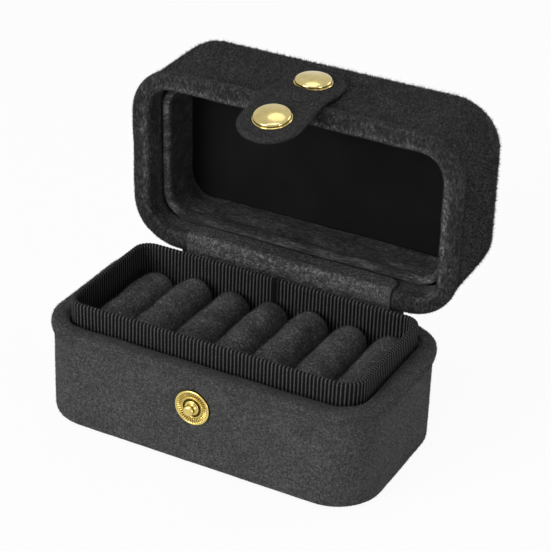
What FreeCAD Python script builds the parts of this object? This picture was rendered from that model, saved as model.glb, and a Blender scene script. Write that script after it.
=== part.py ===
import FreeCAD, Part
import math
import os

# Travel ring box: a velvet covered base with a ribbon-bound collar and seven ring rolls, a velvet
# covered lid on a cloth hinge, and a strap that snaps onto a stud. Millimetres, +X along the length,
# -Y to the front, +Z up, origin at the centre of the underside. The lid stands open on its stop.

V = FreeCAD.Vector

# ---------------------------------------------------------------- driving dimensions
# Case, on the velvet wall faces just below the rolled rims
case_length = 104.2
case_depth = 56.2
corner_radius = 14.4
base_height = 31.0
lid_height = 31.3
rim_gap = 0.3
base_edge_radius = 1.2
lid_edge_radius = 2.4

# Rolled rims of base and lid
rim_bead = 0.9
bead_height = 3.6
rim_width = 5.1
rim_outer_round = 1.5
rim_inner_round = 1.2
padding_depth = 3.0
base_lip_depth = 4.5
lid_lip_depth = 9.0

# Roundings in section are this many chords
rim_chords = 2
turned_chords = 2
dome_chords = 3

# Layers of the case
velvet = 1.0
shell_wall = 1.8
shell_floor = 1.6
cover_turn_in = 5.0
floor_corner_radius = 2.0
panel_proud = 0.3
panel_play = 0.2

# Collar that stands inside the base
collar_side_gap = 0.6
collar_front_gap = 1.2
collar_corner_tuck = 2.3
collar_rise = 5.9
collar_core_wall = 0.8
ribbon = 0.35
ribbon_round = 0.5
ribbon_outside = 13.0

# Ring rolls and the insert below them
roll_count = 7
roll_gap = 0.1
roll_drop = 0.1
roll_end_play = 0.2
roll_flat = 0.3
roll_velvet = 0.9
roll_core_play = 0.05
board_thickness = 1.2
board_play = 0.1

# Cloth hinge
lid_open_angle = 88.2
hinge_rise = 2.5
hinge_cloth_inset = 0.7
hinge_cloth_thickness = 0.45
hinge_cloth_play = 0.05
hinge_cloth_tail = 4.9
hinge_cloth_lid_leg = 1.4
hinge_strip_inset = 3.3
hinge_strip_thickness = 0.8
hinge_strip_corner = 3.5
hinge_strip_reach = 6.4
hinge_strip_tail = 4.4
hinge_strip_bend = 1.3

# Liner that steps in behind the lid's rim
groove_depth = 7.0
liner_play = 0.1
liner_inset = 2.7
liner_board = 1.0
lining = 0.6
liner_roll_bulge = 0.4
liner_roll_round = 1.1
liner_roll_height = 2.0
ceiling_depth = 22.3
ceiling_thickness = 1.5

# Strap
strap_width = 19.2
strap_on_lid = 23.3
strap_reach = 21.8
strap_velvet = 0.8
strap_core = 0.6
strap_core_inset = 0.9
strap_standoff = 0.3
strap_ramp = 3.4
strap_bend = 3.0
strap_play = 0.05
strap_droop_angle = 10.0
fold_gap = 0.25
fold_length = 4.0

# Snap and rivet
stud_below_rim = 11.4
stud_flange_radius = 5.4
stud_flange = 0.5
stud_ring_width = 0.8
stud_ring_rise = 0.35
stud_rib_count = 30
stud_rib_width = 0.34
stud_rib_length = 0.9
stud_rib_rise = 0.22
stud_neck_radius = 1.35
stud_neck_height = 1.95
stud_neck_length = 0.6
stud_neck_fall = 0.35
stud_head_radius = 1.75
stud_head_height = 3.2
stud_head_round = 0.8
stud_foot_radius = 2.7
stud_foot_top = 2.0
stud_shank_radius = 1.25
cap_radius = 5.9
cap_height = 2.0
cap_edge = 0.5
cap_sheet = 0.4
cap_pocket = 1.0
cap_barrel_radius = 3.4
cap_barrel_length = 0.9
socket_flange_radius = 4.8
socket_flange = 0.25
socket_bore_radius = 2.1
socket_wall = 1.4
socket_end_play = 0.1
spring_wire_radius = 0.22
spring_wire_sides = 6
spring_run = 2.2
spring_play = 0.05
rivet_on_lid = 13.7
rivet_radius = 1.5
washer_radius = 3.4
washer_thickness = 0.6
peen_height = 0.6
peen_spread = 0.7
hole_play = 0.05

# ---------------------------------------------------------------- derived places
lid_rim_z = base_height + rim_gap
half_depth = case_depth / 2
bead_half_depth = half_depth + rim_bead
hinge_y = bead_half_depth
hinge_z = base_height + hinge_rise
run_inset = corner_radius - floor_corner_radius
shell_underside = panel_proud + velvet
floor_top = shell_underside + shell_floor
collar_length = case_length - 2 * (rim_width + collar_side_gap)
collar_depth = case_depth - 2 * (rim_width + collar_front_gap)
collar_radius = corner_radius - rim_width - collar_corner_tuck
collar_wall = collar_core_wall + 2 * ribbon
collar_top = base_height + collar_rise
bed_inset = collar_wall + roll_end_play
bed_length = collar_length - 2 * bed_inset
roll_length = collar_depth - 2 * bed_inset
roll_pitch = bed_length / roll_count
roll_radius = (roll_pitch - roll_gap) / 2
roll_axis_z = base_height - roll_drop - roll_radius
board_top = roll_axis_z - roll_radius + roll_flat
board_bottom = board_top - board_thickness
hinge_cloth_width = case_length - 2 * (corner_radius + hinge_cloth_inset)
hinge_strip_width = hinge_cloth_width - 2 * hinge_strip_inset
liner_face = -rim_width - liner_inset
strap_thickness = 2 * strap_velvet + strap_core
strap_y = -(bead_half_depth + strap_standoff + strap_thickness / 2)
stud_z = base_height - stud_below_rim
rivet_z = lid_rim_z + rivet_on_lid

parts = {}


# ---------------------------------------------------------------- shape helpers
def rounded_face(points, chords=0):
    """Face in the XZ plane through (x, z, corner radius) points, rounded by arcs or by chords."""
    corners = [V(x, 0, z) for x, z, _ in points]
    stretches = []
    for index, corner in enumerate(corners):
        to_last = (corners[index - 1] - corner).normalize()
        to_next = (corners[(index + 1) % len(corners)] - corner).normalize()
        radius = points[index][2]
        half_angle = to_last.getAngle(to_next) / 2
        trim = radius / math.tan(half_angle) if radius else 0
        start = corner + to_last * trim
        end = corner + to_next * trim
        inward = (to_last + to_next).normalize() if radius else V()
        centre = corner + inward * (radius / math.sin(half_angle))
        stretch = [start]
        for step in range(1, chords if radius else 0):
            blend = start * (1 - step / chords) + end * (step / chords)
            stretch.append(centre + (blend - centre).normalize() * radius)
        if radius:
            stretch.append(end)
        stretches.append((stretch, centre - inward * radius))
    edges = []
    for index, (stretch, middle) in enumerate(stretches):
        if len(stretch) == 2 and not chords:
            edges.append(Part.Arc(stretch[0], middle, stretch[1]).toShape())
        else:
            edges += [Part.makeLine(*pair) for pair in zip(stretch[:-1], stretch[1:])]
        following = stretches[(index + 1) % len(stretches)][0][0]
        if stretch[-1].distanceToPoint(following) > 1e-6:
            edges.append(Part.makeLine(stretch[-1], following))
    return Part.Face(Part.Wire(edges))


def turned(points):
    """Solid of revolution about Z from (radius, z, corner radius) points."""
    return rounded_face(points, turned_chords).revolve(V(0, 0, 0), V(0, 0, 1), 360)


def swept_ring(face, length, depth, radius):
    """The XZ face carried round a rounded rectangle: its X is measured outward from the outline."""
    run_x = length / 2 - radius
    run_y = depth / 2 - radius
    turn_axis = V(run_x, run_y, 0)
    start = face.copy()
    start.translate(V(length / 2, run_y, 0))
    corner = start.revolve(turn_axis, V(0, 0, 1), 90)
    pieces = [corner]
    if run_y > 1e-6:
        pieces.append(start.extrude(V(0, -2 * run_y, 0)))
    if run_x > 1e-6:
        back = start.copy()
        back.rotate(turn_axis, V(0, 0, 1), 90)
        pieces.append(back.extrude(V(-2 * run_x, 0, 0)))
    turned_half = [piece.copy() for piece in pieces]
    mirrored = corner.mirror(V(0, 0, 0), V(1, 0, 0))
    pieces.append(mirrored)
    turned_half.append(mirrored.copy())
    for piece in turned_half:
        piece.rotate(V(0, 0, 0), V(0, 0, 1), 180)
    return pieces[0].multiFuse(pieces[1:] + turned_half).removeSplitter()


def plate(length, depth, radius, bottom, top):
    """Flat plate with rounded corners."""
    x = length / 2
    y = depth / 2
    outline = rounded_face([(-x, -y, radius), (x, -y, radius), (x, y, radius), (-x, y, radius)])
    outline.rotate(V(0, 0, 0), V(1, 0, 0), 90)
    outline.translate(V(0, 0, bottom))
    return outline.extrude(V(0, 0, top - bottom))


def case_plate(offset, bottom, top):
    """Plate whose outline is the case wall moved outward by the offset."""
    return plate(
        case_length + 2 * offset,
        case_depth + 2 * offset,
        corner_radius + offset,
        bottom,
        top,
    )


def case_ring(points):
    """Ring round the case: X is measured outward from the wall face, Z is the depth from the rim."""
    section = rounded_face(points, rim_chords)
    return swept_ring(section, case_length, case_depth, corner_radius)


def band_face(path, inner, outer):
    """Face between two offsets of an open (x, z, bend radius) path, positive to the left of it."""
    directions = []
    for here, there in zip(path[:-1], path[1:]):
        directions.append(V(there[0] - here[0], 0, there[1] - here[1]).normalize())
    sides = []
    for offset in (inner, outer):
        side = []
        for index, (x, z, bend) in enumerate(path):
            before = directions[max(index - 1, 0)]
            after = directions[min(index, len(directions) - 1)]
            left_before = V(-before.z, 0, before.x)
            left_after = V(-after.z, 0, after.x)
            shift = (left_before + left_after) * (offset / (1 + left_before.dot(left_after)))
            turn = before.x * after.z - before.z * after.x
            radius = bend - offset if turn > 0 else bend + offset
            side.append((x + shift.x, z + shift.z, max(radius, 0.05) if bend else 0))
        sides.append(side)
    return rounded_face(sides[0] + sides[1][::-1])


def across(face, width):
    """XZ face turned into the YZ plane and extruded over a width centred on X = 0."""
    wall = face.copy()
    wall.rotate(V(0, 0, 0), V(0, 0, 1), 90)
    wall.translate(V(-width / 2, 0, 0))
    return wall.extrude(V(width, 0, 0))


def on_front(shape, face_y, height):
    """Shape turned along +Z set on the front with +Z pointing out of the case."""
    placed = shape.copy()
    placed.rotate(V(0, 0, 0), V(1, 0, 0), 90)
    placed.translate(V(0, face_y, height))
    return placed


def to_base(shape):
    """Shape measured in depth from the rim, turned over to stand as the base."""
    turned_over = shape.mirror(V(0, 0, 0), V(0, 0, 1))
    turned_over.translate(V(0, 0, base_height))
    return turned_over


def to_lid(shape):
    """Shape measured in depth from the rim, raised to the closed lid."""
    raised = shape.copy()
    raised.translate(V(0, 0, lid_rim_z))
    return raised


def opened(shape):
    """Closed lid shape swung about the hinge to its open stop."""
    swung = shape.copy()
    swung.rotate(V(0, hinge_y, hinge_z), V(1, 0, 0), -lid_open_angle)
    return swung


def drooped(shape):
    """Tongue shape of the closed lid bent inward about the fold, as it hangs when unsnapped."""
    bent = shape.copy()
    bent.rotate(V(0, strap_y, lid_rim_z), V(1, 0, 0), strap_droop_angle)
    return bent


# ---------------------------------------------------------------- case shells, covers and padding
def case_cover(height, lip_depth, edge_radius):
    """Velvet skin: turned in at the far face, up the wall, rolled over the rim and down inside."""
    lip_back = -rim_width + velvet
    return case_ring([
        (-cover_turn_in, height, 0),
        (0, height, edge_radius),
        (0, bead_height, 0),
        (rim_bead, bead_height - rim_bead, 0),
        (rim_bead, 0, rim_outer_round),
        (-rim_width, 0, rim_inner_round),
        (-rim_width, lip_depth, 0),
        (lip_back, lip_depth, 0),
        (lip_back, velvet, 0),
        (rim_bead - velvet, velvet, 0),
        (rim_bead - velvet, padding_depth, 0),
        (-velvet, padding_depth, 0),
        (-velvet, height - velvet, 0),
        (-cover_turn_in, height - velvet, 0),
    ])


def rim_padding():
    """Foam core that fills the rolled rim."""
    return case_ring([
        (-rim_width + velvet, velvet, 0),
        (rim_bead - velvet, velvet, 0),
        (rim_bead - velvet, padding_depth, 0),
        (-rim_width + velvet, padding_depth, 0),
    ])


def case_shell(height, lip_depth):
    """Moulded tub with a thickened rim."""
    outer = -velvet
    inner = outer - shell_wall
    ring = case_ring([
        (-run_inset, height - velvet, 0),
        (outer, height - velvet, 0),
        (outer, padding_depth, 0),
        (-rim_width + velvet, padding_depth, 0),
        (-rim_width + velvet, lip_depth, 0),
        (inner, lip_depth, 0),
        (inner, height - velvet - shell_floor, 0),
        (-run_inset, height - velvet - shell_floor, 0),
    ])
    floor = case_plate(-run_inset, height - velvet - shell_floor, height - velvet)
    return ring.fuse(floor).removeSplitter()


# ---------------------------------------------------------------- snap and rivet, along +Z
def snap_stud():
    """Ball-headed stud with a ringed and ribbed flange, its shank peened behind the wall."""
    ring_inner = stud_flange_radius - stud_ring_width
    ring_top = stud_flange + stud_ring_rise
    wall = velvet + shell_wall
    shank_end = -wall - washer_thickness
    body = turned([
        (0, shank_end - peen_height, 0),
        (stud_shank_radius + peen_spread, shank_end - peen_height, 0),
        (stud_shank_radius + peen_spread, shank_end, 0),
        (stud_shank_radius, shank_end, 0),
        (stud_shank_radius, 0, 0),
        (stud_flange_radius, 0, 0),
        (stud_flange_radius, ring_top, stud_ring_rise),
        (ring_inner, ring_top, 0),
        (ring_inner, stud_flange, 0),
        (stud_foot_radius, stud_flange, 0),
        (stud_foot_radius, ring_top, 0),
        (stud_foot_top, ring_top, 0),
        (stud_neck_radius, stud_neck_height - stud_neck_length, 0),
        (stud_neck_radius, stud_neck_height, 0),
        (stud_head_radius, stud_neck_height + stud_neck_fall, 0),
        (stud_head_radius, stud_head_height, stud_head_round),
        (0, stud_head_height, 0),
    ])
    ribs = []
    for index in range(stud_rib_count):
        corner = V(ring_inner - stud_rib_length, -stud_rib_width / 2, stud_flange / 2)
        rib = Part.makeBox(stud_rib_length, stud_rib_width, stud_flange / 2 + stud_rib_rise, corner)
        rib.rotate(V(0, 0, 0), V(0, 0, 1), 360 * index / stud_rib_count)
        ribs.append(rib)
    return body.multiFuse(ribs)


def washer(shank_radius):
    """Flat ring under a peened shank end, its face on the inside of the shell wall."""
    disc = Part.makeCylinder(washer_radius, washer_thickness)
    bore = Part.makeCylinder(shank_radius + hole_play, washer_thickness)
    return disc.cut(bore)


def dome_points(radius, crown, edge):
    """Quarter-ellipse outline of a dome from its crown to its edge, as (radius, z, 0) points."""
    outline = []
    for step in range(dome_chords + 1):
        angle = math.radians(90 * step / dome_chords)
        outline.append((radius * math.sin(angle), edge + (crown - edge) * math.cos(angle), 0))
    return outline


def snap_cap():
    """Domed cap with a pocket for the stud's head, its barrel clamping the socket in the strap."""
    barrel_bore = cap_barrel_radius - cap_sheet
    return turned(dome_points(cap_radius, cap_height, cap_edge) + [
        (cap_radius, 0, 0),
        (cap_barrel_radius, 0, 0),
        (cap_barrel_radius, -cap_barrel_length, 0),
        (barrel_bore, -cap_barrel_length, 0),
        (barrel_bore, cap_pocket, 0),
        (0, cap_pocket, 0),
    ])


def rivet_cap(grip):
    """Domed cap on a solid shank that is peened at the end of its grip."""
    return turned([(0, -grip - peen_height, 0)] + dome_points(cap_radius, cap_height, cap_edge) + [
        (cap_radius, 0, 0),
        (rivet_radius, 0, 0),
        (rivet_radius, -grip, 0),
        (rivet_radius + peen_spread, -grip, 0),
        (rivet_radius + peen_spread, -grip - peen_height, 0),
    ])


def snap_socket(depth, groove_height):
    """Socket let into the strap: a flange on the lining, a bore, and a groove for the spring."""
    outer = socket_bore_radius + socket_wall
    groove_half = spring_wire_radius + spring_play
    groove_radius = stud_neck_radius + 2 * spring_wire_radius + spring_run / 2 + 3 * spring_play
    return turned([
        (socket_bore_radius, -socket_flange, 0),
        (socket_flange_radius, -socket_flange, 0),
        (socket_flange_radius, 0, 0),
        (outer, 0, 0),
        (outer, depth, 0),
        (socket_bore_radius, depth, 0),
        (socket_bore_radius, groove_height + groove_half, 0),
        (groove_radius, groove_height + groove_half, 0),
        (groove_radius, groove_height - groove_half, 0),
        (socket_bore_radius, groove_height - groove_half, 0),
    ])


def snap_spring():
    """Closed wire spring whose two straight runs grip the stud's neck."""
    reach = stud_neck_radius + spring_wire_radius + spring_play
    outline = []
    for side in range(spring_wire_sides):
        angle = 2 * math.pi * side / spring_wire_sides
        outline.append((spring_wire_radius * math.cos(angle), spring_wire_radius * math.sin(angle), 0))
    wire = rounded_face(outline)
    return swept_ring(wire, 2 * reach, 2 * reach + spring_run, reach)


# ---------------------------------------------------------------- base
def drill_front(shape, radius, height):
    """Shape with a round hole through its front wall."""
    reach = rim_width + 2 * rim_bead
    drill = Part.makeCylinder(radius, 2 * reach, V(0, 0, -reach))
    return shape.cut(on_front(drill, -half_depth, height))


stud_hole = stud_shank_radius + hole_play
base_side = base_height - panel_proud
base_cover_raw = to_base(case_cover(base_side, base_lip_depth, base_edge_radius))
base_shell_raw = to_base(case_shell(base_side, base_lip_depth))
parts["base_cover"] = drill_front(base_cover_raw, stud_hole, stud_z)
parts["base_shell"] = drill_front(base_shell_raw, stud_hole, stud_z)
parts["base_rim_padding"] = to_base(rim_padding())
parts["base_panel"] = case_plate(-cover_turn_in - panel_play, 0, shell_underside)

collar_in_ribbon = -collar_wall + ribbon
collar_section = rounded_face([
    (-ribbon, floor_top, 0),
    (-ribbon, collar_top - ribbon, 0),
    (collar_in_ribbon, collar_top - ribbon, 0),
    (collar_in_ribbon, floor_top, 0),
])
ribbon_section = rounded_face([
    (0, collar_top - ribbon_outside, 0),
    (0, collar_top, ribbon_round),
    (-collar_wall, collar_top, ribbon_round),
    (-collar_wall, board_top, 0),
    (collar_in_ribbon, board_top, 0),
    (collar_in_ribbon, collar_top - ribbon, 0),
    (-ribbon, collar_top - ribbon, 0),
    (-ribbon, collar_top - ribbon_outside, 0),
], rim_chords)
parts["collar_core"] = swept_ring(collar_section, collar_length, collar_depth, collar_radius)
parts["collar_ribbon"] = swept_ring(ribbon_section, collar_length, collar_depth, collar_radius)

insert_inset = ribbon + collar_core_wall + board_play
insert_length = collar_length - 2 * insert_inset
insert_depth = collar_depth - 2 * insert_inset
insert_radius = collar_radius - insert_inset
parts["insert_pad"] = plate(insert_length, insert_depth, insert_radius, floor_top, board_bottom)
parts["insert_board"] = plate(insert_length, insert_depth, insert_radius, board_bottom, board_top)


def ring_roll_sleeve():
    """Velvet tube of a ring roll, flat underneath where it is glued to the board."""
    tube = Part.makeCylinder(roll_radius, roll_length, V(0, -roll_length / 2, 0), V(0, 1, 0))
    below = Part.makeBox(2 * roll_radius, roll_length, roll_radius)
    below.translate(V(-roll_radius, -roll_length / 2, roll_flat - 2 * roll_radius))
    bore_radius = roll_radius - roll_velvet
    bore = Part.makeCylinder(bore_radius, roll_length, V(0, -roll_length / 2, 0), V(0, 1, 0))
    return tube.cut(below.fuse(bore))


def ring_roll_core():
    """Foam core of a ring roll."""
    radius = roll_radius - roll_velvet - roll_core_play
    return Part.makeCylinder(radius, roll_length, V(0, -roll_length / 2, 0), V(0, 1, 0))


roll_bed = plate(bed_length, roll_length, collar_radius - bed_inset, floor_top, collar_top)
for index in range(roll_count):
    roll_place = V((index - (roll_count - 1) / 2) * roll_pitch, 0, roll_axis_z)
    for node, shape in (("ring_roll", ring_roll_sleeve()), ("ring_roll_core", ring_roll_core())):
        shape.translate(roll_place)
        parts[f"{node}_{index + 1}"] = shape.common(roll_bed)

parts["snap_stud"] = on_front(snap_stud(), -half_depth, stud_z)
stud_washer = washer(stud_shank_radius)
stud_washer.translate(V(0, 0, -velvet - shell_wall - washer_thickness))
parts["stud_washer"] = on_front(stud_washer, -half_depth, stud_z)

# ---------------------------------------------------------------- hinge, in the open pose
cloth_front = bead_half_depth + hinge_cloth_play
cloth_back = cloth_front + hinge_cloth_thickness
cloth_top = hinge_z - hinge_cloth_play
cloth_section = rounded_face([
    (cloth_front, hinge_z - hinge_cloth_tail, 0),
    (cloth_back, hinge_z - hinge_cloth_tail, 0),
    (cloth_back, cloth_top - hinge_cloth_thickness, hinge_cloth_thickness / 2),
    (hinge_y + hinge_cloth_lid_leg, cloth_top - hinge_cloth_thickness, 0),
    (hinge_y + hinge_cloth_lid_leg, cloth_top, 0),
    (cloth_front, cloth_top, hinge_cloth_thickness),
])
parts["hinge_cloth"] = across(cloth_section, hinge_cloth_width)

strip_half = hinge_strip_thickness / 2
crevice_y = (collar_depth / 2 + half_depth - rim_width) / 2
strip_rest_z = hinge_z + rim_width + rim_bead + strip_half + 2 * hinge_cloth_play
open_rim_y = hinge_y - (hinge_rise - rim_gap)
strip_drop_y = open_rim_y - strip_half - 3 * hinge_cloth_play
strip_path = [
    (crevice_y, base_height - hinge_strip_tail, 0),
    (crevice_y, base_height + strip_half, hinge_strip_bend),
    (strip_drop_y, hinge_z + hinge_cloth_thickness, hinge_strip_bend),
    (strip_drop_y, strip_rest_z, hinge_strip_bend),
    (open_rim_y + hinge_strip_reach, strip_rest_z + hinge_cloth_play, 0),
]
strip_sheet = across(band_face(strip_path, -strip_half, strip_half), hinge_strip_width)
strip_far_y = open_rim_y + hinge_strip_reach
strip_outline = plate(
    hinge_strip_width,
    2 * hinge_strip_width,
    hinge_strip_corner,
    0,
    2 * base_height,
)
strip_outline.translate(V(0, strip_far_y - hinge_strip_width, 0))
parts["hinge_strip"] = strip_sheet.common(strip_outline)

# ---------------------------------------------------------------- lid, closed and then swung open
rivet_hole = rivet_radius + hole_play
lid_cover_ring = case_cover(lid_height, lid_lip_depth, lid_edge_radius)
lid_cover_top = case_plate(-cover_turn_in, lid_height - velvet, lid_height)
lid_cover_raw = to_lid(lid_cover_ring.fuse(lid_cover_top).removeSplitter())
lid_shell_raw = to_lid(case_shell(lid_height, lid_lip_depth))

liner_back = liner_face + lining
liner_outer = liner_back + liner_board
liner_flange = -velvet - shell_wall - hole_play
roll_near = -rim_width - liner_play
roll_far = liner_face - liner_roll_bulge
flange_near = lid_lip_depth + hole_play
flange_far = flange_near + liner_board
board_near = groove_depth + liner_board
ceiling_back = ceiling_depth + ceiling_thickness + hole_play
liner_ring = case_ring([
    (liner_back, board_near, 0),
    (liner_outer, board_near, 0),
    (liner_outer, flange_near, 0),
    (liner_flange, flange_near, 0),
    (liner_flange, flange_far, 0),
    (liner_outer, flange_far, 0),
    (liner_outer, ceiling_back + liner_board, 0),
    (-run_inset, ceiling_back + liner_board, 0),
    (-run_inset, ceiling_back, 0),
    (liner_back, ceiling_back, 0),
])
liner_top = case_plate(-run_inset, ceiling_back, ceiling_back + liner_board)
lining_ring = case_ring([
    (liner_face, ceiling_depth - hole_play, 0),
    (liner_face, groove_depth + liner_roll_height + liner_roll_bulge, 0),
    (roll_far, groove_depth + liner_roll_height, 0),
    (roll_far, groove_depth, liner_roll_round),
    (roll_near, groove_depth, liner_roll_round),
    (roll_near, groove_depth + liner_roll_height, 0),
    (liner_outer, groove_depth + liner_roll_height, 0),
    (liner_outer, board_near, 0),
    (liner_back, board_near, 0),
    (liner_back, ceiling_depth - hole_play, 0),
])
ceiling = case_plate(liner_back - hole_play, ceiling_depth, ceiling_depth + ceiling_thickness)


def strap_layer(path, inner, outer, inset):
    """One layer of the strap along a (y, z, bend) path, trimmed to the round-ended strap outline."""
    sheet = across(band_face(path, inner, outer), strap_width)
    width = strap_width - 2 * inset
    length = strap_on_lid + strap_reach - 2 * inset
    outline = plate(width, length, width / 2, -half_depth, half_depth)
    outline.rotate(V(0, 0, 0), V(1, 0, 0), 90)
    outline.translate(V(0, strap_y, lid_rim_z + (strap_on_lid - strap_reach) / 2))
    return sheet.common(outline)


def strap_layers(path, hole_radius, hole_z):
    """Velvet face, core and lining of a strap stretch, drilled for its rivet or socket."""
    half_core = strap_core / 2
    half_strap = strap_thickness / 2
    drill = Part.makeCylinder(hole_radius, 4 * strap_thickness, V(0, 0, -2 * strap_thickness))
    drill = on_front(drill, strap_y, hole_z)
    face = strap_layer(path, -half_strap, -half_core, 0)
    core = strap_layer(path, -half_core, half_core, strap_core_inset)
    back = strap_layer(path, half_core, half_strap, 0)
    return [layer.cut(drill) for layer in (face, core, back)]


strap_lift = strap_thickness / 2 + strap_play
fold_clear = strap_thickness / 2 + fold_gap
ramp_top = bead_height + strap_ramp
strap_root_path = [
    (-half_depth - strap_lift, lid_rim_z + strap_on_lid, 0),
    (-half_depth - strap_lift, lid_rim_z + ramp_top, strap_bend),
    (strap_y, lid_rim_z + bead_height, strap_bend),
    (strap_y, lid_rim_z + fold_clear, 0),
]
tongue_path = [
    (strap_y, lid_rim_z - fold_length - fold_clear, 0),
    (strap_y, lid_rim_z - strap_reach, 0),
]
tongue_hole = socket_bore_radius + socket_wall + hole_play
root_face, root_core, root_back = strap_layers(strap_root_path, rivet_hole, rivet_z)
tongue_face, tongue_core, tongue_back = strap_layers(tongue_path, tongue_hole, stud_z)
strap_inner_y = strap_y + strap_thickness / 2
strap_outer_y = strap_y - strap_thickness / 2
fold_top = lid_rim_z + strap_thickness / 2
fold_bottom = lid_rim_z - fold_length - strap_thickness / 2
strap_fold = across(rounded_face([
    (strap_outer_y, fold_bottom, strap_thickness / 2),
    (strap_inner_y, fold_bottom, strap_thickness / 2),
    (strap_inner_y, fold_top, strap_thickness / 2),
    (strap_outer_y, fold_top, strap_thickness / 2),
]), strap_width)

socket_depth = strap_thickness - cap_barrel_length - socket_end_play
spring_height = strap_inner_y + half_depth + stud_neck_height - stud_neck_length / 2
rivet_seat_y = -half_depth - strap_lift - strap_thickness / 2
rivet_grip = strap_play + strap_thickness + velvet + shell_wall + washer_thickness
lid_washer = washer(rivet_radius)
lid_washer.translate(V(0, 0, -rivet_grip))
spring = snap_spring()
spring.translate(V(0, 0, spring_height))

lid_closed = {
    "lid_cover": drill_front(lid_cover_raw, rivet_hole, rivet_z),
    "lid_shell": drill_front(lid_shell_raw, rivet_hole, rivet_z),
    "lid_rim_padding": to_lid(rim_padding()),
    "lid_liner": to_lid(liner_ring.fuse(liner_top).removeSplitter()),
    "lid_lining": to_lid(lining_ring),
    "lid_ceiling_panel": to_lid(ceiling),
    "strap_root_face": root_face,
    "strap_root_core": root_core,
    "strap_root_lining": root_back,
    "strap_rivet": on_front(rivet_cap(rivet_grip), rivet_seat_y, rivet_z),
    "rivet_washer": on_front(lid_washer, rivet_seat_y, rivet_z),
}
tongue_straight = {
    "strap_fold": strap_fold,
    "strap_tongue_face": tongue_face,
    "strap_tongue_core": tongue_core,
    "strap_tongue_lining": tongue_back,
    "snap_cap": on_front(snap_cap(), strap_outer_y, stud_z),
    "snap_socket": on_front(snap_socket(socket_depth, spring_height), strap_inner_y, stud_z),
    "snap_spring": on_front(spring, strap_inner_y, stud_z),
}
for name, shape in lid_closed.items():
    parts[name] = opened(shape)
for name, shape in tongue_straight.items():
    parts[name] = opened(drooped(shape))

# ---------------------------------------------------------------- export
os.makedirs("parts", exist_ok=True)
for name, shape in parts.items():
    shape.exportStep(f"parts/{name}.step")
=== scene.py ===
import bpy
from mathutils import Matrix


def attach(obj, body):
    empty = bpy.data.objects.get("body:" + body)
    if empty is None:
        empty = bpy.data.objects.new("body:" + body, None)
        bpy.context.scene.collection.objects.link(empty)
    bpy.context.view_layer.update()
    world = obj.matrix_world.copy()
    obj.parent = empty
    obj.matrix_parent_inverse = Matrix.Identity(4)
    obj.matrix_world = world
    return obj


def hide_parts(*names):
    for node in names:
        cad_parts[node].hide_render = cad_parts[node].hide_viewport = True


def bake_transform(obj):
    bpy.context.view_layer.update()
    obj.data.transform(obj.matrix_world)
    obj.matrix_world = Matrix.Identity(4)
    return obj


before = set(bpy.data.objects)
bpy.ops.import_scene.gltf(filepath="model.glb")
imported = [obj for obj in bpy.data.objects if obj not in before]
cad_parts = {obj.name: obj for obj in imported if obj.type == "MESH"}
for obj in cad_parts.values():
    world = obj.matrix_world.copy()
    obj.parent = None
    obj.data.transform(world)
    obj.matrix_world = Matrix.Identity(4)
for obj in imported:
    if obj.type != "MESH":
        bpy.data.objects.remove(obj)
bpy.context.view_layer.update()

import logging
import math
from collections.abc import Callable
from dataclasses import dataclass
from enum import Enum

import bmesh
import bpy
import numpy as np
from mathutils import Matrix, Vector

Array = np.ndarray
Piece = bpy.types.Object
Socket = bpy.types.NodeSocket
Triple = tuple[float, float, float]
Feed = Socket | float | tuple[float, ...]
Turn = Callable[[Array], Array]
Keep = Callable[[Array, Array], Array]
MM = 0.001
TINY = 1e-6
LOG = logging.getLogger("ring_box")


# ---- sizes shared by the sub-assemblies
@dataclass(frozen=True)
class CaseSizes:
    """Sizes of the case, in millimetres, as the solids have them."""

    length: float = 104.2
    depth: float = 56.2
    corner: float = 14.4
    base_height: float = 31.0
    lid_height: float = 31.3
    rim_gap: float = 0.3
    rim_bead: float = 0.9
    bead_height: float = 3.6
    rim_width: float = 5.1
    velvet: float = 1.0
    turn_in: float = 5.0
    base_lip: float = 4.5
    lid_lip: float = 9.0
    panel_proud: float = 0.3
    open_angle: float = 88.2
    hinge_rise: float = 2.5

    @property
    def lid_rim(self) -> float:
        """Height of the closed lid's rim."""
        return self.base_height + self.rim_gap

    @property
    def hinge(self) -> tuple[float, float]:
        """The hinge axis, as (y, z)."""
        return self.depth / 2 + self.rim_bead, self.base_height + self.hinge_rise

    @property
    def spine(self) -> float:
        """Half the middle line, which is as long as the case is longer than it is deep."""
        return (self.length - self.depth) / 2


CASE = CaseSizes()


# ---- short sums
def unit(vectors: Array) -> Array:
    """Vectors scaled to a length of one."""
    return vectors / np.maximum(np.linalg.norm(vectors, axis=-1, keepdims=True), TINY)


def ease(value: Array, start: float, end: float) -> Array:
    """0 before start and 1 after end, with a smooth step between."""
    t = np.clip((value - start) / (end - start), 0, 1)
    return t * t * (3 - 2 * t)


def hump(value: Array, middle: float, width: float, power: int = 2) -> Array:
    """A bell of height 1: e to minus the distance from the middle, over the width, to the power."""
    return np.exp(-((value - middle) / width) ** power)


def full_turn(count: int) -> Array:
    """Even angles round a circle, in radians."""
    return np.linspace(0, 2 * np.pi, count, endpoint=False)


def turned_about_x(points: Array, centre: tuple[float, float], degrees: float) -> Array:
    """Points turned about a line parallel to X.

    y and z, taken from the centre, are multiplied by the plane rotation of that angle.

    Args:
        points: (..., 3) positions in millimetres.
        centre: the line, as (y, z).
        degrees: the angle, by the right-hand rule about +X.

    Returns:
        The turned positions.
    """
    c, s = math.cos(math.radians(degrees)), math.sin(math.radians(degrees))
    y, z = points[..., 1] - centre[0], points[..., 2] - centre[1]
    return np.stack([points[..., 0], centre[0] + c * y - s * z, centre[1] + s * y + c * z], -1)


def to_open_lid(points: Array) -> Array:
    """Closed-lid positions swung to the open stop."""
    return turned_about_x(points, CASE.hinge, -CASE.open_angle)


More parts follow.
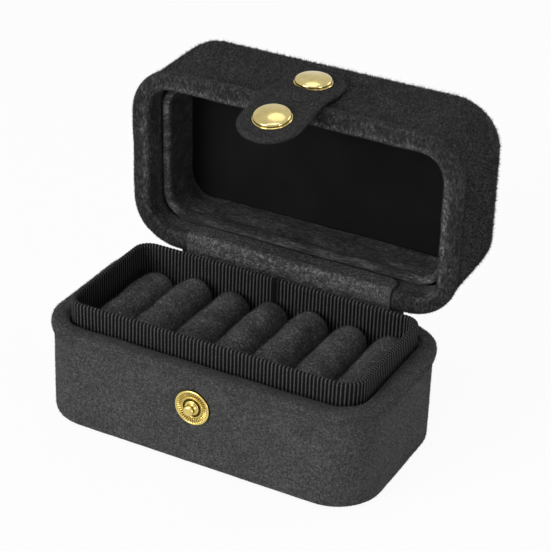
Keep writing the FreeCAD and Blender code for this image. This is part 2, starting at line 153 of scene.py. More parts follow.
def stood_up(points: Array, face: float, height: float) -> Array:
    """A part turned about Z laid over to face the front, on a wall at y, its axis at a height."""
    return turned_about_x(points, (0.0, 0.0), 90) + np.array([0, face, height])


def outward(centre: Array, normal: Array) -> Array:
    """How far a face of the case points away from the case's middle line, -1 to 1."""
    nearest = np.clip(centre[:, 0], -CASE.spine, CASE.spine)
    away = unit(np.stack([centre[:, 0] - nearest, centre[:, 1]], 1))
    return (away * normal[:, :2]).sum(1)


RIPPLE_SINES = 7


def ripple(points: Array, wavelength: float, seed: int) -> Array:
    """A smooth random height: a sum of sines of the position, each with its own direction and phase.

    Args:
        points: (..., 3) positions in millimetres.
        wavelength: rough distance between crests.
        seed: picks the directions and phases.

    Returns:
        Heights of about -1 to 1, without the last axis.
    """
    rng = np.random.default_rng(seed)
    ways = rng.normal(size=(RIPPLE_SINES, 3))
    lengths = np.linalg.norm(ways, axis=1, keepdims=True)
    ways *= (2 * np.pi / wavelength) * rng.uniform(0.6, 1.5, (RIPPLE_SINES, 1)) / lengths
    phases = rng.uniform(0, 2 * np.pi, RIPPLE_SINES)
    return np.sin(points @ ways.T + phases).sum(-1) / RIPPLE_SINES ** 0.5 / 1.2


# ---- surfaces
@dataclass(frozen=True)
class Rail:
    """A walk round an outline: centres, unit normals, radii and the distance walked."""

    centres: Array
    normals: Array
    radii: Array
    walked: Array
    length: float


@dataclass(frozen=True)
class Outline:
    """Rectangle in plan, centred on the origin, with a radius at each corner.

    The corners are right back, left back, left front and right front.
    """

    length: float
    depth: float
    corners: tuple[float, float, float, float]

    def rail(self, step: float) -> Rail:
        """Walks once round the outline from the middle of its right side.

        The place is a centre point plus a radius times a unit normal. Along a straight the centre
        and radius slide and the normal rests; round a corner they rest and the normal turns.

        Args:
            step: spacing of the samples, in millimetres.

        Returns:
            The walk.
        """
        x, y = self.length / 2, self.depth / 2
        a, b, c, d = self.corners
        arc = [math.pi * r / 2 for r in self.corners]
        runs = np.cumsum([
            0, y - a, arc[0], 2 * x - a - b, arc[1], 2 * y - b - c, arc[2], 2 * x - c - d, arc[3], y - d,
        ])
        count = int(round(runs[-1] / step / 4)) * 4
        s = np.linspace(0, runs[-1], count, endpoint=False)
        cx = np.interp(s, runs, [x - a, x - a, x - a, b - x, b - x, c - x, c - x, x - d, x - d, x - a])
        cy = np.interp(s, runs, [0, y - a, y - a, y - b, y - b, c - y, c - y, d - y, d - y, 0])
        radius = np.interp(s, runs, [a, a, a, b, b, c, c, d, d, a])
        turn = np.interp(s, runs, np.radians([0, 0, 90, 90, 180, 180, 270, 270, 360, 360]))
        normals = np.stack([np.cos(turn), np.sin(turn)], 1)
        return Rail(np.stack([cx, cy], 1), normals, radius, s, float(runs[-1]))


CASE_OUTLINE = Outline(CASE.length, CASE.depth, (CASE.corner,) * 4)
COLLAR = Outline(92.8, 43.6, (5.3, 5.0, 5.8, 6.6))
ARC_SAMPLES = 13


def rounded_path(corners: list[Triple], step: float, closed: bool) -> Array:
    """Even samples of a polyline whose corners are replaced by tangent arcs.

    Each arc's centre lies on the corner's bisector at radius over the sine of half the corner angle.

    Args:
        corners: (x, z, radius) of each corner, in millimetres.
        step: spacing of the samples.
        closed: whether the last corner joins the first.

    Returns:
        (n, 2) points; a closed path doesn't repeat its first point.
    """
    data = np.array(corners, float)
    at, radius = data[:, :2], data[:, 2:]
    back, ahead = unit(np.roll(at, 1, 0) - at), unit(np.roll(at, -1, 0) - at)
    half = np.arccos(np.clip((back * ahead).sum(1, keepdims=True), TINY - 1, 1 - TINY)) / 2
    trim = radius / np.tan(half)
    centre = (at + unit(back + ahead) * radius / np.sin(half))[:, None]
    share = np.linspace(0, 1, ARC_SAMPLES)[None, :, None]
    chord = (at + back * trim)[:, None] * (1 - share) + (at + ahead * trim)[:, None] * share
    arc = np.where(radius[:, None] > 0, centre + unit(chord - centre) * radius[:, None], chord)
    line = arc.reshape(-1, 2)
    if closed:
        line = np.vstack([line, line[:1]])
    s = np.append(0, np.cumsum(np.linalg.norm(np.diff(line, axis=0), axis=1)))
    count = max(int(round(s[-1] / step)), 3)
    even = np.linspace(0, s[-1], count + (not closed), endpoint=not closed)
    return np.stack([np.interp(even, s, line[:, 0]), np.interp(even, s, line[:, 1])], 1)


def swept(rail: Rail, offsets: Array, heights: Array) -> Array:
    """A profile carried round an outline: centre plus (radius plus offset) times the normal.

    Args:
        rail: the walk round the outline.
        offsets: (m,) or (n, m) distances outward from the outline.
        heights: (m,) or (n, m) heights.

    Returns:
        (n, m, 3) positions.
    """
    reach = rail.radii[:, None] + np.broadcast_to(offsets, (len(rail.walked), np.shape(offsets)[-1]))
    flat = rail.centres[:, None] + rail.normals[:, None] * reach[..., None]
    return np.dstack([flat, np.broadcast_to(heights, reach.shape)])


def grid_faces(rows: int, cols: int, wrap_rows: bool, wrap_cols: bool) -> tuple[Array, Array]:
    """The quads of a grid.

    Args:
        rows, cols: size of the grid.
        wrap_rows, wrap_cols: whether its last row or column joins the first.

    Returns:
        The quads as vertex numbers, and as (row, column) numbers that count on past the join.
    """
    i, j = np.meshgrid(np.arange(rows - (not wrap_rows)), np.arange(cols - (not wrap_cols)), indexing="ij")
    r = np.stack([i, i + 1, i + 1, i], -1).reshape(-1, 4)
    c = np.stack([j, j, j + 1, j + 1], -1).reshape(-1, 4)
    return (r % rows) * cols + c % cols, np.stack([r, c], -1)


def linked(name: str, data: bpy.types.ID) -> Piece:
    """A new object in the scene that holds the data."""
    made = bpy.data.objects.new(name, data)
    bpy.context.collection.objects.link(made)
    return made


@dataclass
class Patch:
    """A grid of positions that becomes one mesh."""

    points: Array
    wrap_rows: bool = False
    wrap_cols: bool = False
    row_length: float = 1.0
    col_length: float = 1.0
    tones: Array | None = None

    def build(self, name: str, merge: float = 0.004) -> Piece:
        """Makes the mesh, closes its poles and points its faces outward.

        Args:
            name: the piece's name.
            merge: points nearer than this, in millimetres, become one.

        Returns:
            The object, at the origin, with a UV map in metres along the rows and columns.
        """
        rows, cols = self.points.shape[:2]
        faces, corners = grid_faces(rows, cols, self.wrap_rows, self.wrap_cols)
        mesh = bpy.data.meshes.new(name)
        mesh.from_pydata(self.points.reshape(-1, 3) * MM, [], faces)
        scale = np.array([self.row_length / rows, self.col_length / cols]) * MM
        layer = mesh.uv_layers.new(name="Surface")
        layer.uv.foreach_set("vector", (corners.reshape(-1, 2) * scale).astype(np.float32).ravel())
        if self.tones is not None:
            tone = mesh.attributes.new("tone", "FLOAT", "POINT")
            tone.data.foreach_set("value", self.tones.astype(np.float32).ravel())
        work = bmesh.new()
        work.from_mesh(mesh)
        bmesh.ops.remove_doubles(work, verts=work.verts, dist=merge * MM)
        bmesh.ops.dissolve_degenerate(work, edges=work.edges, dist=1e-7)
        open_edges = [edge for edge in work.edges if edge.is_boundary]
        if open_edges:
            bmesh.ops.holes_fill(work, edges=open_edges, sides=0)
        bmesh.ops.recalc_face_normals(work, faces=work.faces)
        work.to_mesh(mesh)
        work.free()
        mesh.shade_smooth()
        return linked(name, mesh)


def turned_patch(profile: Array, segments: int) -> Patch:
    """A profile turned about Z: x and y are the radius times cosine and sine.

    Args:
        profile: (n, 2) points of (radius, height).
        segments: faces round the axis.

    Returns:
        The patch.
    """
    turn = full_turn(segments)[:, None]
    r, z = profile[:, 0][None], profile[:, 1][None]
    points = np.stack([r * np.cos(turn), r * np.sin(turn), z + 0 * turn], -1)
    return Patch(points, True, False, 2 * math.pi * float(profile[:, 0].max()), float(len(profile)))


# ---- finishes
class Coordinates(Enum):
    """Where a pattern takes its place from."""

    BODY = "Object"
    SURFACE = "UV"


class Graph:
    """A node tree, with short calls for the nodes that the finishes and the studio use."""

    def __init__(self, tree: bpy.types.NodeTree) -> None:
        """Takes up a tree with the nodes that it has."""
        self.nodes, self.links = tree.nodes, tree.links

    def feed(self, node: bpy.types.Node, *ordered: Feed, **named: Feed) -> bpy.types.Node:
        """Sets or links some of a node's inputs.

        Args:
            node: the node.
            *ordered: values or sockets for its first inputs.
            **named: values or sockets by name, where an underscore stands for a space.

        Returns:
            The node.
        """
        for key, value in (*enumerate(ordered), *named.items()):
            socket = node.inputs[key if isinstance(key, int) else key.replace("_", " ")]
            if isinstance(value, Socket):
                self.links.new(value, socket)
            else:
                socket.default_value = value
        return node

    def add(self, kind: str, *ordered: Feed, **named: Feed) -> bpy.types.Node:
        """A new node of a kind with its inputs fed."""
        return self.feed(self.nodes.new(f"ShaderNode{kind}"), *ordered, **named)

    def math(self, kind: str, a: Socket, b: Socket | float) -> Socket:
        """One arithmetic step on two numbers."""
        node = self.add("Math", a, b)
        node.operation = kind
        return node.outputs[0]

    def plus(self, a: Socket, b: Socket, share: float) -> Socket:
        """The first number and a share of the second."""
        return self.math("ADD", a, self.math("MULTIPLY", b, share))

    def seen(self) -> Socket:
        """1 for camera, glossy and transmission rays, 0 for the rest."""
        ray = self.add("LightPath").outputs
        direct = self.math("MAXIMUM", ray["Is Camera Ray"], ray["Is Glossy Ray"])
        return self.math("MAXIMUM", direct, ray["Is Transmission Ray"])


class Dye(Graph):
    """A material's node tree, whose patterns follow the piece."""

    def __init__(self, name: str, coordinates: Coordinates = Coordinates.BODY) -> None:
        """Starts a material with a plain shader."""
        self.material = bpy.data.materials.new(name)
        self.material.use_nodes = True
        super().__init__(self.material.node_tree)
        self.shader = self.nodes["Principled BSDF"]
        self.place = self.add("TexCoord").outputs[coordinates.value]

    def stretched(self, scale: Triple) -> Socket:
        """The coordinates multiplied axis by axis."""
        return self.add("Mapping", Vector=self.place, Scale=scale).outputs["Vector"]

    def noise(self, scale: float, detail: float, roughness: float, place: Socket | None = None) -> Socket:
        """Fractal noise, its scale in cycles per metre."""
        place = place or self.place
        return self.add("TexNoise", Scale=scale, Detail=detail, Roughness=roughness, Vector=place).outputs["Fac"]

    def cells(self, scale: float, place: Socket) -> Socket:
        """A random level for each small cell, the cells' scale in cycles per metre."""
        cell = self.add("TexVoronoi", Scale=scale, Vector=place)
        return self.add("SeparateColor", cell.outputs["Color"]).outputs[0]

    def attribute(self, name: str) -> Socket:
        """A number stored on the piece's points."""
        node = self.add("Attribute")
        node.attribute_name = name
        return node.outputs["Fac"]

    def range(self, value: Socket, low: float, high: float, to_low: float, to_high: float) -> Socket:
        """Low to high spread linearly over another range, clamped."""
        ends = {"From_Min": low, "From_Max": high, "To_Min": to_low, "To_Max": to_high}
        return self.add("MapRange", Value=value, **ends).outputs["Result"]

    def ramp(self, value: Socket, stops: list[tuple[float, Triple]]) -> Socket:
        """A colour picked between rising stops.

        Args:
            value: the number that picks.
            stops: (position, colour) of each stop.

        Returns:
            The colour.
        """
        node = self.add("ValToRGB", Fac=value)
        band = node.color_ramp
        band.elements.remove(band.elements[1])
        band.elements[0].position, band.elements[0].color = stops[0][0], (*stops[0][1], 1)
        for position, colour in stops[1:]:
            band.elements.new(position).color = (*colour, 1)
        return node.outputs["Color"]

    def shade(self, **named: Feed) -> None:
        """Feeds the shader."""
        self.feed(self.shader, **named)

    def bump(self, height: Socket, strength: float, distance_mm: float) -> None:
        """Raises the shading normal by the height."""
        node = self.add("Bump", Strength=strength, Distance=distance_mm * MM, Height=height)
        self.shade(Normal=node.outputs["Normal"])


def grey(level: float) -> Triple:
    """A neutral colour."""
    return level, level, level


@dataclass(frozen=True)
class Velvet:
    """Short-pile velvet: flattened patches, single light tufts, fine grain and a soft sheen."""

    name: str
    level: float
    contrast: float
    crush: float
    tufts: float
    patch: float = 120.0
    grain: float = 1500.0
    sheen: float = 0.08
    # Share of the colour range that the tone attribute's painted light and shade may move.
    painted_light_share: float = 0.26
    glint: float = 1.9
    brush: Triple = (1.0, 1.0, 1.0)
    coordinates: Coordinates = Coordinates.BODY

    def material(self) -> bpy.types.Material:
        """Builds the node material; the piece's own tone attribute adds painted highlight and painted shade."""
        g = Dye(self.name, self.coordinates)
        place = g.stretched(self.brush)
        grain = g.noise(self.grain, 3, 0.7, place)
        tuft = g.cells(self.grain * 1.5, place)
        patch = g.noise(self.patch, 4, 0.65, place)
        tone = g.plus(g.plus(grain, tuft, self.tufts), patch, self.crush)
        middle = (1.0 + self.crush + self.tufts) / 2
        spread = 0.2 + 0.1 * self.crush + 0.25 * self.tufts
        top = 1 - self.painted_light_share
        raised = g.range(tone, middle - spread, middle + spread, 0.0, top)
        # Here the tone attribute paints light and shade into the colour.
        raised = g.plus(raised, g.attribute("tone"), self.painted_light_share)
        powers = ((0.0, -1.0), (top / 2, 0.0), (top, 1.0), (1.0, self.glint))
        colour = g.ramp(raised, [(at, grey(self.level * self.contrast ** power)) for at, power in powers])
        g.shade(Base_Color=colour, Roughness=g.range(grain, 0.3, 0.7, 0.8, 1.0), Specular_IOR_Level=0.08)
        g.shade(Sheen_Weight=self.sheen, Sheen_Roughness=0.5)
        g.bump(g.plus(grain, tuft, 0.3), 0.8, 0.25)
        return g.material


@dataclass(frozen=True)
class Fibre:
    """One tone of the loose pile."""

    name: str
    level: float

    def material(self) -> bpy.types.Material:
        """Builds the plain material of a single fibre."""
        g = Dye(self.name)
        g.shade(Base_Color=(*grey(self.level), 1), Roughness=0.75, Specular_IOR_Level=0.2, Sheen_Weight=0.15)
        return g.material


@dataclass(frozen=True)
class Grosgrain:
    """Ribbed ribbon: painted highlight makes its ribs' crests lighter than their flanks, and painted shade darkens
    the gaps.
    """

    name: str = "grosgrain"
    # Levels of the gaps' painted shade, the flanks and the crests' painted highlight.
    gap: float = 0.003
    flank: float = 0.0192
    crest: float = 0.12
    thread: float = 3800.0

    def material(self) -> bpy.types.Material:
        """Builds the node material, coloured by the ribs' own height as painted highlight and painted shade."""
        g = Dye(self.name, Coordinates.SURFACE)
        thread = g.noise(self.thread, 2, 0.6)
        tone = g.math("MULTIPLY", g.attribute("tone"), g.range(thread, 0.3, 0.7, 0.6, 1.1))
        colour = g.ramp(tone, [(0.3, grey(self.gap)), (0.65, grey(self.flank)), (0.95, grey(self.crest))])
        g.shade(Base_Color=colour, Roughness=g.range(thread, 0.3, 0.7, 0.6, 0.85))
        g.shade(Sheen_Weight=0.03, Specular_IOR_Level=0.05)
        g.bump(thread, 0.4, 0.08)
        return g.material


@dataclass(frozen=True)
class Gold:
    """Polished gold plate with faint handling marks, with painted shade in its hollows where it has a tone attribute.
    """

    name: str = "gold_plate"
    roughness: float = 0.14
    shaded_recesses: bool = False
    wear: float = 260.0
    scratches: float = 1800.0

    def material(self) -> bpy.types.Material:
        """Builds the node material."""
        g = Dye(self.name)
        wear = g.noise(self.wear, 4, 0.6)
        stops = [(0.3, (0.46, 0.37, 0.14)), (0.7, (0.58, 0.49, 0.22))]
        if self.shaded_recesses:
            # The stud's tone attribute paints shade into its hollows and between the knurl teeth, varied by the wear
            # noise.
            wear = g.math("MULTIPLY", g.attribute("tone"), g.range(wear, 0.2, 0.8, 0.75, 1.1))
            stops = [(0.05, (0.10, 0.065, 0.012)), (0.5, (0.42, 0.30, 0.07)), (0.95, (0.70, 0.56, 0.19))]
        scratch = g.noise(self.scratches, 3, 0.7, g.stretched((1.0, 0.15, 1.0)))
        rough = g.range(scratch, 0.3, 0.75, self.roughness * 0.7, self.roughness * 1.6)
        g.shade(Base_Color=g.ramp(wear, stops), Roughness=rough, Metallic=1.0)
        g.bump(scratch, 0.03, 0.02)
        return g.material


@dataclass(frozen=True)
class Matt:
    """A plain made material with grain: card, foam, moulded plastic or flocked board."""

    name: str
    level: float
    grain: float = 900.0
    spread: float = 0.3
    roughness: float = 0.85
    relief: float = 0.05
    metallic: float = 0.0
    cloud: float = 60.0

    def material(self) -> bpy.types.Material:
        """Builds the node material."""
        g = Dye(self.name)
        grain = g.noise(self.grain, 3, 0.6)
        tone = g.plus(g.math("MULTIPLY", grain, 0.6), g.noise(self.cloud, 2, 0.5), 0.4)
        low, high = self.level * (1 - self.spread), self.level * (1 + self.spread)
        rough = g.range(grain, 0.3, 0.7, self.roughness - 0.08, self.roughness + 0.08)
        g.shade(Base_Color=g.ramp(tone, [(0.35, grey(low)), (0.65, grey(high))]), Roughness=rough)
        g.shade(Metallic=self.metallic, Specular_IOR_Level=0.12)
        g.bump(grain, 0.3, self.relief)
        return g.material


Finish = Velvet | Fibre | Grosgrain | Gold | Matt


class Wardrobe:
    """Makes each finish once and hands out its material."""

    def __init__(self) -> None:
        """Starts with nothing made."""
        self.made: dict[str, bpy.types.Material] = {}

    def wear(self, piece: Piece, *finishes: Finish) -> Piece:
        """Gives a piece these finishes.

        Args:
            piece: the piece.
            *finishes: its finishes, in slot order.

        Returns:
            The piece.
        """
        piece.data.materials.clear()
        for finish in finishes:
            if finish.name not in self.made:
                self.made[finish.name] = finish.material()
            piece.data.materials.append(self.made[finish.name])
        return piece


WARDROBE = Wardrobe()
CASE_VELVET = Velvet("case_velvet", 0.052, 2.2, 0.3, 0.4, grain=1800.0)
# The lid's velvet is set at half the base's level: partly painted shade, since the lid's top faces up and takes less
# light than the base's front, and partly a real darker look of the lid.
LID_VELVET = Velvet("lid_velvet", 0.026, 3.2, 0.55, 0.45, brush=(1.0, 1.0, 0.5))
ROLL_VELVET = Velvet("roll_velvet", 0.07, 2.9, 0.8, 0.4, patch=160.0)
LINING_VELVET = Velvet("lining_velvet", 0.028, 3.4, 1.5, 0.5, patch=230.0, brush=(0.4, 1.0, 1.8))
STRAP_VELVET = Velvet("strap_velvet", 0.034, 3.2, 0.3, 0.5, coordinates=Coordinates.SURFACE)
HINGE_VELVET = Velvet("hinge_velvet", 0.088, 2.8, 0.5, 0.5, patch=260.0, coordinates=Coordinates.SURFACE)
# The lid's pile is darker than the base's in the same way: partly painted shade, partly real.
DARK_PILE = (Fibre("pile_deep", 0.008), Fibre("pile_mid", 0.032), Fibre("pile_tip", 0.24))
GREY_PILE = (Fibre("pile_shade", 0.02), Fibre("pile_grey", 0.06), Fibre("pile_light", 0.28))
CARD = Matt("card", 0.03)


# ---- loose pile
def read(items: bpy.types.bpy_prop_collection, key: str, width: int, kind: type = np.float32) -> Array:
    """One property of every item.

    Args:
        items: the mesh's faces, corners or points.
        key: the property.
        width: how many numbers it has.
        kind: the numbers' type.

    Returns:
        (n,) numbers or, for a wider property, (n, width).
    """
    found = np.empty(len(items) * width, kind)
    items.foreach_get(key, found)
    return found.reshape(-1, width).astype(float) if width > 1 else found


def placed(piece: Piece, body: str, slot: str, *nodes: str) -> None:
    """Lets a finished piece ride on a body.

    Args:
        piece: the piece.
        body: the body's name.
        slot: not used.
        *nodes: the solids that it stands for, which are hidden.
    """
    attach(piece, body)
    if nodes:
        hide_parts(*nodes)
    LOG.info("%s rides on %s, %d faces", piece.name, body, len(piece.data.polygons))


def bent(piece: Piece, first: str, second: str, start: Array, end: Array) -> None:
    """Bakes a velvet piece's placement into its mesh.

    Args:
        piece: the piece.
        first, second: not used.
        start, end: not used.
    """
    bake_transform(piece)


@dataclass(frozen=True)
class Pile:
    """Loose fibres that stand up from a velvet: one slim triangle each."""

    per_mm2: float
    length: float
    shares: Triple
    tones: tuple[Fibre, Fibre, Fibre]
    seed: int
    lean: Triple = (0.0, 0.0, 0.0)
    unruly: float = 0.55
    width: float = 0.1
    least_rise: float = 0.35
    root_depth: float = 0.08

    def grow(self, name: str, ground: Piece, keep: Keep | None = None) -> Piece:
        """Plants fibres on a piece's faces, as many to each as its area asks for.

        A root is a bilinear mix of its face's corners. The tip lies along the face's normal plus the
        lean and a random part, and the root's two points stand half a width either side.

        Args:
            name: the new piece's name.
            ground: the velvet piece.
            keep: takes face centres and normals in millimetres and returns the density there, 0 to 1.

        Returns:
            The fibres as one object, in three tones.
        """
        mesh = ground.data
        normal = read(mesh.polygons, "normal", 3)
        centre = read(mesh.polygons, "center", 3) / MM
        area = read(mesh.polygons, "area", 1) / MM ** 2
        first = read(mesh.polygons, "loop_start", 1, np.int32)
        total = read(mesh.polygons, "loop_total", 1, np.int32)
        vertex = read(mesh.loops, "vertex_index", 1, np.int32)
        place = read(mesh.vertices, "co", 3) / MM
        share = area * (keep(centre, normal) if keep else 1.0) * (total <= 4)
        rng = np.random.default_rng(self.seed)
        fibres = int(share.sum() * self.per_mm2)
        face = rng.choice(len(area), fibres, p=share / share.sum())
        a, b = rng.random((2, fibres, 1))
        corner = [place[vertex[first[face] + np.minimum(k, total[face] - 1)]] for k in range(4)]
        root = (corner[0] * (1 - a) + corner[1] * a) * (1 - b) + (corner[3] * (1 - a) + corner[2] * a) * b
        up = normal[face]
        way = up + np.array(self.lean) + rng.normal(0, self.unruly, (fibres, 3))
        way -= up * np.minimum((way * up).sum(1, keepdims=True) - self.least_rise, 0)
        way = unit(way)
        side = unit(np.cross(way, rng.normal(size=(fibres, 3))))
        size = self.length * rng.uniform(0.45, 1.15, (fibres, 1))
        low = root - up * self.root_depth
        points = np.stack([low - side * self.width / 2, low + side * self.width / 2, root + way * size], 1)
        made = bpy.data.meshes.new(name)
        made.from_pydata(points.reshape(-1, 3) * MM, [], np.arange(3 * fibres).reshape(-1, 3))
        tone = rng.choice(3, fibres, p=self.shares)
        made.polygons.foreach_set("material_index", tone.astype(np.int32))
        return WARDROBE.wear(linked(name, made), *self.tones)

    def cover(self, name: str, ground: Piece, keep: Keep, body: str, slot: str = "case_velvet") -> None:
        """Grows fibres on a piece and lets them ride on its body."""
        placed(self.grow(name, ground, keep), body, slot)


# ---- the two case halves
@dataclass(frozen=True)
class CaseHalf:
    """Velvet skin of the base or the lid: turned-in hem, wall, rolled rim and inner lip."""

    height: float
    lip: float
    edge: float
    # Strengths of the painted highlight along the rim's crest and of the painted shade in the ledge.
    crest_highlight: float = 0.0
    ledge_shade: float = 0.0
    step: float = 0.75
    profile_step: float = 0.6
    softness: float = 0.1
    corner_give: float = 0.88
    full_hem: float = 10.4
    rows_across: int = 22
    lip_face: float = -3.9
    # Offsets where the painted highlight and the painted shade sit.
    crest_highlight_line: float = -3.7
    ledge_line: float = -4.6
    pucker: float = 17.0
    sag: float = 14.0
    grain: float = 2.3
    # How much of the painted highlight is taken off where the outline faces the back and the left.
    back_highlight_cut: float = 0.9
    left_highlight_cut: float = 0.35

    def profile(self, full_face: bool) -> Array:
        """The skin's section as (offset outward, depth from the rim) points.

        Args:
            full_face: whether the far face is covered right across and not only turned in.

        Returns:
            (n, 2) points, closed for a hem and open for a full face.
        """
        c = CASE
        back, bead = -c.rim_width + c.velvet, c.rim_bead - c.velvet
        hem = -self.full_hem if full_face else -c.turn_in
        outer = [
            (hem, self.height, 0), (0, self.height, self.edge), (0, c.bead_height + 1.5, 5.0),
            (c.rim_bead, c.bead_height - 1.6, 1.6), (c.rim_bead, 0, 1.7), (-c.rim_width, 0, 1.5),
            (-c.rim_width, self.lip, 0.4), (back, self.lip, 0.4),
        ]
        inner = [
            (back, c.velvet, 0), (bead, c.velvet, 0), (bead, 3.0, 0),
            (-c.velvet, 3.0, 0), (-c.velvet, self.height - c.velvet, 0), (hem, self.height - c.velvet, 0),
        ]
        return rounded_path(outer + inner, self.profile_step, not full_face)

    def skin(self, full_face: bool, seed: int) -> Patch:
        """The skin as a patch, with a hand-wrapped unevenness in the rim and a little in the wall.

        Args:
            full_face: as in profile.
            seed: picks the unevenness.

        Returns:
            The patch, in depth from the rim.
        """
        path = self.profile(full_face)
        offset, depth = path.T
        rail = CASE_OUTLINE.rail(self.step)
        diagonal = (2 * rail.normals[:, :1] * rail.normals[:, 1:]) ** 2
        offsets = offset + self.corner_give * diagonal * (offset < self.lip_face) * (depth < self.lip + 1)
        points = swept(rail, offsets, depth)
        near = hump(points[..., 2], 1.0, 3.0)
        soft = self.softness * (0.35 + near) * ripple(points, self.pucker, seed)
        soft = soft + 0.035 * ripple(points, self.grain, seed + 1)
        points = swept(rail, offsets + soft, depth)
        points[..., 2] += near * self.softness * 0.8 * ripple(points, self.sag, seed + 2)
        # The tones are painted light: a painted highlight along the rim's crest near its inner edge, weaker where the
        # outline faces the back and the left, and a painted shade in the ledge beside the collar.
        crest_highlight_band = hump(offsets, self.crest_highlight_line, 1.0) * hump(depth, 0.0, 1.2)
        facing = np.clip(rail.normals * np.array([-1, 1]), 0, 1) ** 2
        highlight_cut = facing @ np.array([[self.left_highlight_cut], [self.back_highlight_cut]])
        tones = self.crest_highlight * (1 - highlight_cut) * crest_highlight_band * (1 + 0.15 * ripple(points, 4.0, seed + 3))
        tones = tones - self.ledge_shade * hump(offsets, self.ledge_line, 1.6) * hump(depth, 0.0, 2.0)
        if full_face:
            points = self.closed_across(points)
            tones = np.pad(tones, ((0, 0), (self.rows_across,) * 2))
        length = float(np.linalg.norm(np.diff(path, axis=0), axis=1).sum())
        return Patch(points, True, not full_face, rail.length, length, tones)

    def closed_across(self, points: Array) -> Array:
        """Adds rows that run straight from both ends of an open section to the case's middle line.

        Args:
            points: (n, m, 3) patch whose first and last columns are the section's ends.

        Returns:
            The patch with its far face and inner face closed.
        """
        share = np.linspace(1, 0, self.rows_across)[:, None]
        ends = []
        for column in (points[:, 0], points[:, -1]):
            x = np.clip(column[:, 0], -CASE.spine, CASE.spine)
            target = np.stack([x, 0 * column[:, 1], column[:, 2]], 1)
            ends.append(target[:, None] * share + column[:, None] * (1 - share))
        return np.concatenate([ends[0], points, ends[1][:, ::-1]], 1)


